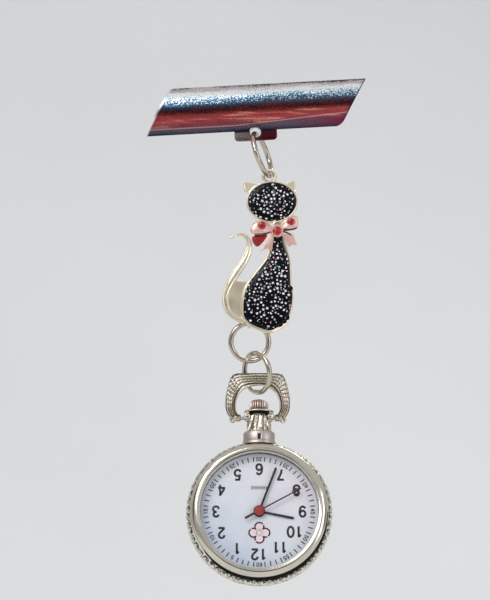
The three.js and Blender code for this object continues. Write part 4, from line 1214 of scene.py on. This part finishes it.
def build_case():
    """The band between bezel and back, with rows of scrolls, then bezel, flange, crystal and back."""
    edge = [(12.45, -2.32), (12.75, -2.42), (13.0, -2.3)]
    wall = [(13.0 + 0.97 * math.sin(math.pi * t / 56) ** 0.8, -2.2 + 4.55 * t / 56) for t in range(1, 56)]
    profile = [(11.92, -2.3), *edge, *wall, (13.0, 2.42), (12.8, 2.58), (11.92, 2.58)]
    first, last = len(edge) + 1, len(edge) + len(wall)
    relief = []

    def scrolls(turn, radius, height, step):
        aside = abs(turn - RECESS_SHADOW_MIDDLE)
        wider = RECESS_SHADOW_WIDENS * math.cos(1.1 * aside) if aside < RECESS_SHADOW_HALF_ARC else 0
        reach = RECESS_SHADOW_RADIUS + wider
        # painted shadow under the bezel: its relief is set low so the material paints it black, and the front
        # of the wall steps back a little
        recess_shadow = max(0, min(1, (reach - radius) / 0.08 + 0.5)) if step < first + 16 else 0
        if not first <= step <= last:
            relief.append(0.95 * (1 - recess_shadow))
            return radius, height
        v = (step - first) / (last - first)
        border = min(1, 14 * min(v, 1 - v))
        row = min(BAND_ROWS - 1, int(v * BAND_ROWS))
        across = (v * BAND_ROWS - row - 0.5) * 1.3
        cell = turn / TAU * BAND_CELLS + 0.5 * (row % 2)
        along = (cell % 1 - 0.5) * 1.28
        uneven = (int(cell) * 7 + row * 13) % 5 - 2
        flip = 1 if (int(cell) + row) % 2 else -1
        groove = curl(along * flip + 0.05 * uneven, across - 0.06 * uneven, 0.36 + 0.025 * uneven)
        swell = 0.75 + 0.25 * math.cos(TAU * cell) * math.cos(math.pi * across / 1.3)
        carve = max(0, swell - groove)
        relief.append((0.95 * (1 - border) + carve * border) * (1 - recess_shadow))
        return radius - 0.3 * border + 0.34 * carve * border, height + 0.15 * recess_shadow

    band = moved(lathe(profile, 1080, shape=scrolls), BACKWARD)
    on_case("case_band", band, engraved, ["case_middle"], 60, relief)

    bezel = [(11.5, -2.5), (12.0, -2.5), (12.0, -3.2), (12.78, -3.22), (12.87, -3.31), (12.82, -3.45),
             (12.6, -3.65), (12.3, -3.83), (12.02, -3.94), (11.86, -3.97), (11.74, -3.97), (11.66, -3.94),
             (11.61, -3.82), (11.3, -3.8), (11.22, -3.72), (11.22, -3.64), (11.5, -3.64)]
    turned("bezel_polished", rounded(bezel, 0.06, 3), chrome, "bezel_chrome", ["bezel"])
    # a black ring between the bezel and the band: a painted shadow
    shadow_ring = [(12.02, -2.36), (12.8, -2.44), (12.72, -3.19), (12.02, -3.19)]
    turned("bezel_painted_shadow_ring", rounded(shadow_ring, 0.04, 2), shadow_black, "bezel_chrome")
    flange = [(11.17, -1.64), (11.85, -1.64), (11.85, -2.25), (11.46, -2.25), (11.46, -3.0), (11.36, -3.02),
              (11.2, -2.9)]
    turned("dial_flange_ring", rounded(flange, 0.05, 3), inner_wall, "bezel_chrome", ["dial_flange"])
    glass_profile = [(0.001, -4.6)]
    glass_profile += [(11.15 * t / 30, -4.6 + 1.0 * (t / 30) ** 2.6) for t in range(1, 31)]
    glass_profile += [(11.2, -3.5), (11.2, -3.1)]
    glass_profile += [(11.1 * t / 30, -3.85 + 0.75 * (t / 30) ** 2.2) for t in range(30, 0, -1)]
    turned("crystal_domed", [*glass_profile, (0.001, -3.85)], glass, "crystal_glass", ["crystal"])
    back = [(0.001, 2.68), (12.6, 2.68), (12.82, 2.75), (12.88, 2.9), (12.6, 3.12), (12.1, 3.3),
            (11.6, 3.36), (11.45, 3.3), (11.3, 3.36), (11.1, 3.52), (10.9, 3.58), (9.6, 3.58),
            (9.5, 3.53), (9.4, 3.58), (0.001, 3.58)]
    turned("case_back_snap", back, brushed, "back_steel", ["case_back"])


def turned(name, profile, material, slot, replaces=()):
    """A piece turned about the watch's own front-to-back axis, from (radius, y)."""
    shape = moved(lathe(profile, 256), BACKWARD)
    put(name, *shape, material, IN_WATCH, "watch", slot, replaces, 30)


# -------- dial and hands
HAND_SHEET = 0.15
DIAL_Y = -1.6
PRINT = 0.025
NUMERAL_RADIUS = 8.2
NUMERAL_HEIGHT = 2.12
NUMERAL_WEIGHT = 0.42
MINUTE_RADIUS = 10.15
MINUTE_HEIGHT = 0.78
MINUTE_WEIGHT = 0.145
TRACK = (9.7, 10.62)
TRACK_WEIGHT = 0.2
CHEVRON_PITCH = 0.46
ROSETTE_AT = (0.02, -4.07)
PETAL_REACH = 1.12
PETAL_OUTLINE = 0.84
PETAL_FILL = 0.62

# The centre lines of digits one unit tall. "curve" marks the ones whose points lie on a smooth line.
DIGITS = {
    "1": ([(0.2, 0.76), (0.4, 0.97)], [(0.38, 0.97), (0.38, 0.0)]),
    "2": ("curve", [(0.06, 0.7), (0.13, 0.88), (0.31, 0.96), (0.5, 0.88), (0.56, 0.7), (0.47, 0.5),
                    (0.25, 0.27), (0.07, 0.07)]),
    "3": ("curve", [(0.07, 0.76), (0.15, 0.91), (0.32, 0.96), (0.49, 0.88), (0.52, 0.72), (0.42, 0.57),
                    (0.25, 0.53)],
          [(0.25, 0.53), (0.46, 0.48), (0.57, 0.3), (0.5, 0.12), (0.31, 0.04), (0.13, 0.1), (0.05, 0.27)]),
    "4": ([(0.46, 0.0), (0.46, 1.0)], [(0.46, 0.95), (0.05, 0.3)], [(0.0, 0.28), (0.66, 0.28)]),
    "5": ("curve", [(0.1, 0.47), (0.19, 0.56), (0.34, 0.61), (0.5, 0.53), (0.57, 0.33), (0.5, 0.13),
                    (0.31, 0.04), (0.13, 0.09), (0.05, 0.24)]),
    "6": ("curve", [(0.54, 0.78), (0.46, 0.91), (0.32, 0.96), (0.15, 0.86), (0.07, 0.62), (0.06, 0.34),
                    (0.14, 0.11), (0.32, 0.04), (0.49, 0.11), (0.56, 0.31), (0.49, 0.5), (0.33, 0.58),
                    (0.17, 0.5), (0.08, 0.36)]),
    "7": ([(0.03, 0.94), (0.62, 0.94)], [(0.58, 0.96), (0.4, 0.6), (0.27, 0.3), (0.22, 0.0)]),
}
EXTRA_STROKES = {"2": [(0.05, 0.06), (0.61, 0.06)], "5": [(0.54, 0.94), (0.17, 0.94), (0.1, 0.46)]}


def digit_paths(digit):
    """The centre lines of a digit one unit tall, each as (points, closed)."""
    if digit == "0":
        return [(oval(0.31, 0.5, 0.26, 0.46, 36), True)]
    if digit == "8":
        return [(oval(0.31, 0.745, 0.2, 0.215, 28), True), (oval(0.31, 0.28, 0.25, 0.24, 32), True)]
    if digit == "9":
        return [([(0.62 - x, 1 - y) for x, y in points], closed) for points, closed in digit_paths("6")]
    lines = DIGITS[digit]
    if lines[0] != "curve":
        return [(line, False) for line in lines]
    paths = [(spline(line, 26), False) for line in lines[1:]]
    return paths + ([(EXTRA_STROKES[digit], False)] if digit in EXTRA_STROKES else [])


def ribbon(path, width, closed=False):
    """A printed line of even width along a path on the dial."""
    line = [Vector(p) for p in path]
    count = len(line)
    verts = []
    for i, point in enumerate(line):
        after = line[(i + 1) % count] - point if closed or i + 1 < count else point - line[i - 1]
        before = point - line[i - 1] if closed or i else after
        a, b = before.normalized(), after.normalized()
        normal = Vector((-(a + b).y, (a + b).x)).normalized()
        reach = width / 2 / max(normal.dot(Vector((-b.y, b.x))), 0.55)
        left, right = point + normal * reach, point - normal * reach
        verts += [(left.x, DIAL_Y - PRINT, left.y), (right.x, DIAL_Y - PRINT, right.y)]
        verts += [(right.x, DIAL_Y, right.y), (left.x, DIAL_Y, left.y)]
    faces = grid(count, 4, close_rows=closed, close_columns=True)
    if not closed:
        faces += [(0, 1, 2, 3), tuple((count - 1) * 4 + k for k in (3, 2, 1, 0))]
    return verts, faces


def lettering(text, height, weight, x, z, spin):
    """Printed digits centred on (x, z) and turned `spin` radians anticlockwise, seen from the front."""
    shapes = []
    pitch = 0.68 if text == "11" else 0.78
    width = 0.62 + pitch * (len(text) - 1)
    cos, sin = math.cos(spin) * height, math.sin(spin) * height
    for i, digit in enumerate(text):
        for points, closed in digit_paths(digit):
            local = [(px + i * pitch - width / 2, py - 0.5) for px, py in points]
            placed = [(x + u * cos - v * sin, z + u * sin + v * cos) for u, v in local]
            shapes.append(ribbon(placed, weight, closed))
    return together(*shapes)


def on_dial(turn, radius):
    """A place on the dial, `turn` radians clockwise from 12, which is at the bottom."""
    return -radius * math.sin(turn), -radius * math.cos(turn)


def stroke(x0, z0, x1, z1, width):
    """A thin printed bar between two places."""
    along = Vector((x1 - x0, z1 - z0))
    side = Vector((-along.y, along.x)).normalized() * width / 2
    corners = [(x0 + side.x, z0 + side.y), (x0 - side.x, z0 - side.y), (x1 - side.x, z1 - side.y),
               (x1 + side.x, z1 + side.y)]
    front = [(x, DIAL_Y - PRINT, z) for x, z in corners]
    back = [(x, DIAL_Y, z) for x, z in corners]
    faces = [(0, 1, 2, 3), (7, 6, 5, 4), (0, 4, 5, 1), (1, 5, 6, 2), (2, 6, 7, 3), (3, 7, 4, 0)]
    return front + back, faces


def printed(name, shapes, colour):
    """Several printed shapes as one piece on the dial."""
    put(name, *together(*shapes), colour, IN_WATCH, "watch", "dial_white", crease=20)


def build_dial():
    """A white disc printed with numerals, minute numbers, a minute track, chevrons and a rosette."""
    disc = [(1, -1.2), (1, -1.58), (1.02, -1.6), (11.78, -1.6), (11.8, -1.58), (11.8, -1.2)]
    turned("dial_disc", disc, dial_white, "dial_white", ["dial"])
    hours, minutes, marks = [], [], []
    for hour in range(1, 13):
        turn = hour * TAU / 12
        # the two widest numerals sit nearer the centre
        x, z = on_dial(turn, NUMERAL_RADIUS - {10: 0.4, 11: 0.25}.get(hour, 0))
        hours.append(lettering(str(hour), NUMERAL_HEIGHT, NUMERAL_WEIGHT, x, z, math.pi))
        x, z = on_dial(turn, MINUTE_RADIUS)
        spin = math.pi - turn + (0 if math.cos(turn) > -0.01 else math.pi)
        minutes.append(lettering(str(hour * 5), MINUTE_HEIGHT, MINUTE_WEIGHT, x, z, spin))
    for minute in range(60):
        turn = minute * TAU / 60
        if minute % 5:
            marks.append(stroke(*on_dial(turn, TRACK[0]), *on_dial(turn, TRACK[1]), TRACK_WEIGHT))
    printed("dial_numerals", hours, ink)
    printed("dial_minute_numbers", minutes, ink)
    printed("dial_minute_track", marks, ink)
    chevrons = []
    for k in range(-3, 4):
        x = CHEVRON_PITCH * k
        chevrons.append(ribbon([(x - 0.12, 4.28), (x + 0.12, 4.6), (x - 0.12, 4.92)], 0.17))
    printed("dial_ornament_line", chevrons, ink)
    build_rosette(*ROSETTE_AT)


def build_rosette(x, z):
    """Four round petals in a broken dark outline, each filled with pink."""
    outline, fill = [], []
    for quarter in range(4):
        aim = quarter * TAU / 4 + TAU / 4
        px, pz = x + PETAL_REACH * math.cos(aim), z + PETAL_REACH * math.sin(aim)
        turns = [aim + a for a in np.linspace(-2.2, 2.2, 34)]
        arc = [(px + PETAL_OUTLINE * math.cos(a), pz + PETAL_OUTLINE * math.sin(a)) for a in turns]
        outline += [ribbon(arc[k : k + 9], 0.3) for k in (0, 10, 18, 25)]
        for reach, width in ((PETAL_FILL, 0.3), (PETAL_FILL * 0.38, 0.46)):
            fill.append(ribbon(oval(px, pz, reach, reach, 28), width, True))
    fill.append(ribbon([(x - 0.6, z), (x + 0.6, z)], 1.2))
    lowered = Matrix.Translation((0, 0.012, 0))
    printed("dial_rosette", outline, red_ink)
    printed("dial_rosette_petals", [moved(shape, lowered) for shape in fill], pink_ink)


def hand(name, outline, holes, front, hub, turn, material, body, slot, cap=None):
    """A flat hand with a round hub, `turn` degrees clockwise from the top. It replaces a CAD hand."""
    back = front + HAND_SHEET
    node = name.rsplit("_", 1)[0]
    blade = plate_mesh(name, [outline, *holes], front, back, 0.035, 2)
    boss = lathe([(0, 0), (hub, 0), (hub, 0.08), (hub - 0.06, 0.15), (0, 0.17)], 64, closed=False)
    boss = moved(boss, Matrix.Translation((0, back - 0.02, 0)) @ FACING)
    spin = Matrix.Rotation(math.radians(turn), 4, "Y")
    put(name, *moved(parts_of(blade), spin), material, IN_WATCH, body, slot, [node])
    put(name + "_hub", *boss, cap or material, IN_WATCH, body, slot)


def baton(length):
    """A straight hand, a little wider towards its end."""
    right = [(0.14, length), (0.22, length - 0.2), (0.2, -0.9)]
    return [(-x, z) for x, z in reversed(right)] + right


def build_hands():
    """Two batons, and a needle with a ring near its tip and a red hub."""
    hand("hour_hand_baton", baton(6.7), [], -1.95, 1.1, 101.5, hand_black, "hours", "hand_black")
    hand("minute_hand_baton", baton(9.0), [], -2.3, 1.1, 21, hand_black, "minutes", "hand_black")
    eye, ring = 7.85, 0.66
    right = [(0.23, -3.1), (0.23, -0.9), (0.15, -0.6), (0.125, eye - 0.64)]
    for turn in np.linspace(0.2, math.pi - 0.12, 28):
        right.append((ring * math.sin(turn), eye - ring * math.cos(turn)))
    right.append((0.07, 9.1))
    needle = right + [(-x, z) for x, z in reversed(right)]
    opening = oval(0, eye, 0.42, 0.42, 40)
    hand("second_hand_ring", needle, [opening], -2.65, 0.98, 61.6, hand_dark, "seconds", "hand_red", hand_red)


# -------- what stays CAD, inside the case
WHEELS = [f"{which}_wheel" for which in ("second", "centre", "hour", "minute", "third", "fifth")]
INSIDE = (
    (brass, ["main_plate", "battery_strap", *WHEELS]),
    (steel, ["train_bridge", "stator", "rotor", "winding_stem", "sliding_pinion"]),
    (chrome, ["bridge_screw_1", "bridge_screw_2", "bridge_screw_3"]),
    (nylon, ["movement_ring", "crystal_gasket"]),
    (brushed, ["battery"]),
    (copper, ["coil"]),
    (board, ["circuit_board"]),
    (satin, ["quartz_can"]),
    (gasket, ["back_gasket"]),
)


def finish_inside():
    """Materials for the CAD pieces that are kept as they are."""
    for material, nodes in INSIDE:
        for node in nodes:
            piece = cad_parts[node]
            piece.data.materials.clear()
            piece.data.materials.append(material)


# -------- studio
# The paper's floor and wall, and the bend between them, in metres.
FLOOR_Z = -0.16
WALL_Y = 1.2
PAPER_BEND = 0.5
WORLD_STRENGTH = 0.62
CAMERA_AT = Vector((-2.1, -420, -72)) * MM
VIEW_CENTRE_Z = -37.72 * MM
VIEW_HEIGHT = 115.9 * MM


def build_stage():
    """A sheet of pale paper below and behind the watch."""
    n = Nodes("paper_sweep")
    tone = n.mix(n.spread(n.noise(3, 3), 0, 1), (0.77, 0.775, 0.785), (0.81, 0.815, 0.82))
    sheet = n.set(Base_Color=tone, Roughness=0.9)
    middle_y, middle_z = WALL_Y - PAPER_BEND, FLOOR_Z + PAPER_BEND
    line = [(-3.0, FLOOR_Z), (middle_y, FLOOR_Z)]
    for turn in np.linspace(0.05, 1.5, 24):
        line.append((middle_y + PAPER_BEND * math.sin(turn), middle_z - PAPER_BEND * math.cos(turn)))
    line.append((WALL_Y, 2.5))
    verts = [(x, y, z) for x in (-3, 3) for y, z in line]
    mesh = mesh_from("sweep", verts, grid(2, len(line)))
    mesh.materials.append(sheet)
    soften(mesh, 60)
    backdrop = in_scene("backdrop", mesh)


def aim_at(holder, at, aim):
    """Places a light, card or camera and points it."""
    holder.location = at
    holder.rotation_euler = (Vector(aim) - Vector(at)).to_track_quat("-Z", "Y").to_euler()


def area_light(name, at, aim, size, power, colour=(1, 1, 1)):
    """A soft box, in metres and watts."""
    data = bpy.data.lights.new(name, "AREA")
    data.shape = "RECTANGLE"
    data.size, data.size_y = size
    data.energy = power
    data.color = colour
    aim_at(in_scene(name, data), at, aim)


def card(name, at, aim, size, colour):
    """A dark board that only shows in reflections."""
    n = Nodes(name)
    n.set(Base_Color=colour, Roughness=0.9)
    w, h = size[0] / 2, size[1] / 2
    mesh = mesh_from(name, [(-w, -h, 0), (w, -h, 0), (w, h, 0), (-w, h, 0)], [(0, 1, 2, 3)])
    mesh.materials.append(n.material)
    board_card = in_scene(name, mesh)
    aim_at(board_card, at, aim)
    board_card.visible_camera = False
    board_card.visible_shadow = False


def build_lights():
    """Three soft boxes, dark cards that shape the reflections, and a pale sky."""
    middle = Vector((0, 0, -0.04))
    area_light("key_softbox", (-0.45, -0.8, 0.7), middle, (0.7, 0.7), 6.5)
    area_light("fill_softbox", (1.5, -1.15, 0.22), middle, (0.91, 1.64), 8.6, (0.95, 0.97, 1))
    area_light("back_softbox", (0.3, 0.6, 0.75), middle, (0.8, 0.5), 3)
    dark, warm = (0.012, 0.012, 0.014), (0.1, 0.085, 0.075)
    card("card_viewer", (0, -0.72, -0.05), middle, (0.42, 0.34), warm)
    card("card_low", (0.1, -0.3, -0.45), middle, (0.6, 0.16), dark)
    card("card_high", (-0.15, -0.35, 0.4), middle, (0.5, 0.05), dark)
    card("card_right", (0.5, -0.25, -0.1), middle, (0.07, 0.7), dark)
    card("card_left", (-0.5, -0.2, -0.02), middle, (0.09, 0.7), dark)
    card("card_rear", (0.1, 0.42, -0.1), middle, (0.06, 0.5), dark)
    world = bpy.data.worlds.new("studio")
    world.use_nodes = True
    bpy.context.scene.world = world
    nodes, links = world.node_tree.nodes, world.node_tree.links
    coords = nodes.new("ShaderNodeTexCoord")
    split = nodes.new("ShaderNodeSeparateXYZ")
    tones = nodes.new("ShaderNodeValToRGB")
    stops = tones.color_ramp.elements
    stops[0].position, stops[0].color = 0.2, (0.3, 0.3, 0.32, 1)
    stops[1].position, stops[1].color = 0.8, (1.0, 1.0, 1.0, 1)
    rescale = nodes.new("ShaderNodeMapRange")
    rescale.inputs["From Min"].default_value = -1
    links.new(coords.outputs["Generated"], split.inputs["Vector"])
    links.new(split.outputs["Z"], rescale.inputs["Value"])
    links.new(rescale.outputs["Result"], tones.inputs["Fac"])
    links.new(tones.outputs["Color"], nodes["Background"].inputs["Color"])
    nodes["Background"].inputs["Strength"].default_value = WORLD_STRENGTH


def build_camera():
    """A long lens at the photo's angle, framed to the photo's height."""
    sensor = 36
    data = bpy.data.cameras.new("camera")
    data.lens = sensor * -CAMERA_AT.y / VIEW_HEIGHT
    data.sensor_width = sensor
    data.sensor_fit = "VERTICAL"
    data.sensor_height = sensor
    data.clip_start = 0.01
    camera = in_scene("camera", data)
    aim_at(camera, CAMERA_AT, (CAMERA_AT.x, 0, VIEW_CENTRE_Z))
    bpy.context.scene.camera = camera


# -------- the whole scene
build_camera()
build_lights()
build_stage()
build_brooch()
build_ring("jump_ring_top", "top_ring", "top_link", cut_at=2.2)
build_ring("jump_ring_middle", "middle_ring", "middle_link", cut_at=0.6)
build_ring("jump_ring_lower", "lower_ring", "lower_link", cut_at=3.9)
build_charm()
build_bail()
build_pendant()
build_crown()
build_case()
build_dial()
build_hands()
finish_inside()
bpy.context.scene.view_settings.view_transform = "Standard"

bpy.context.view_layer.update()
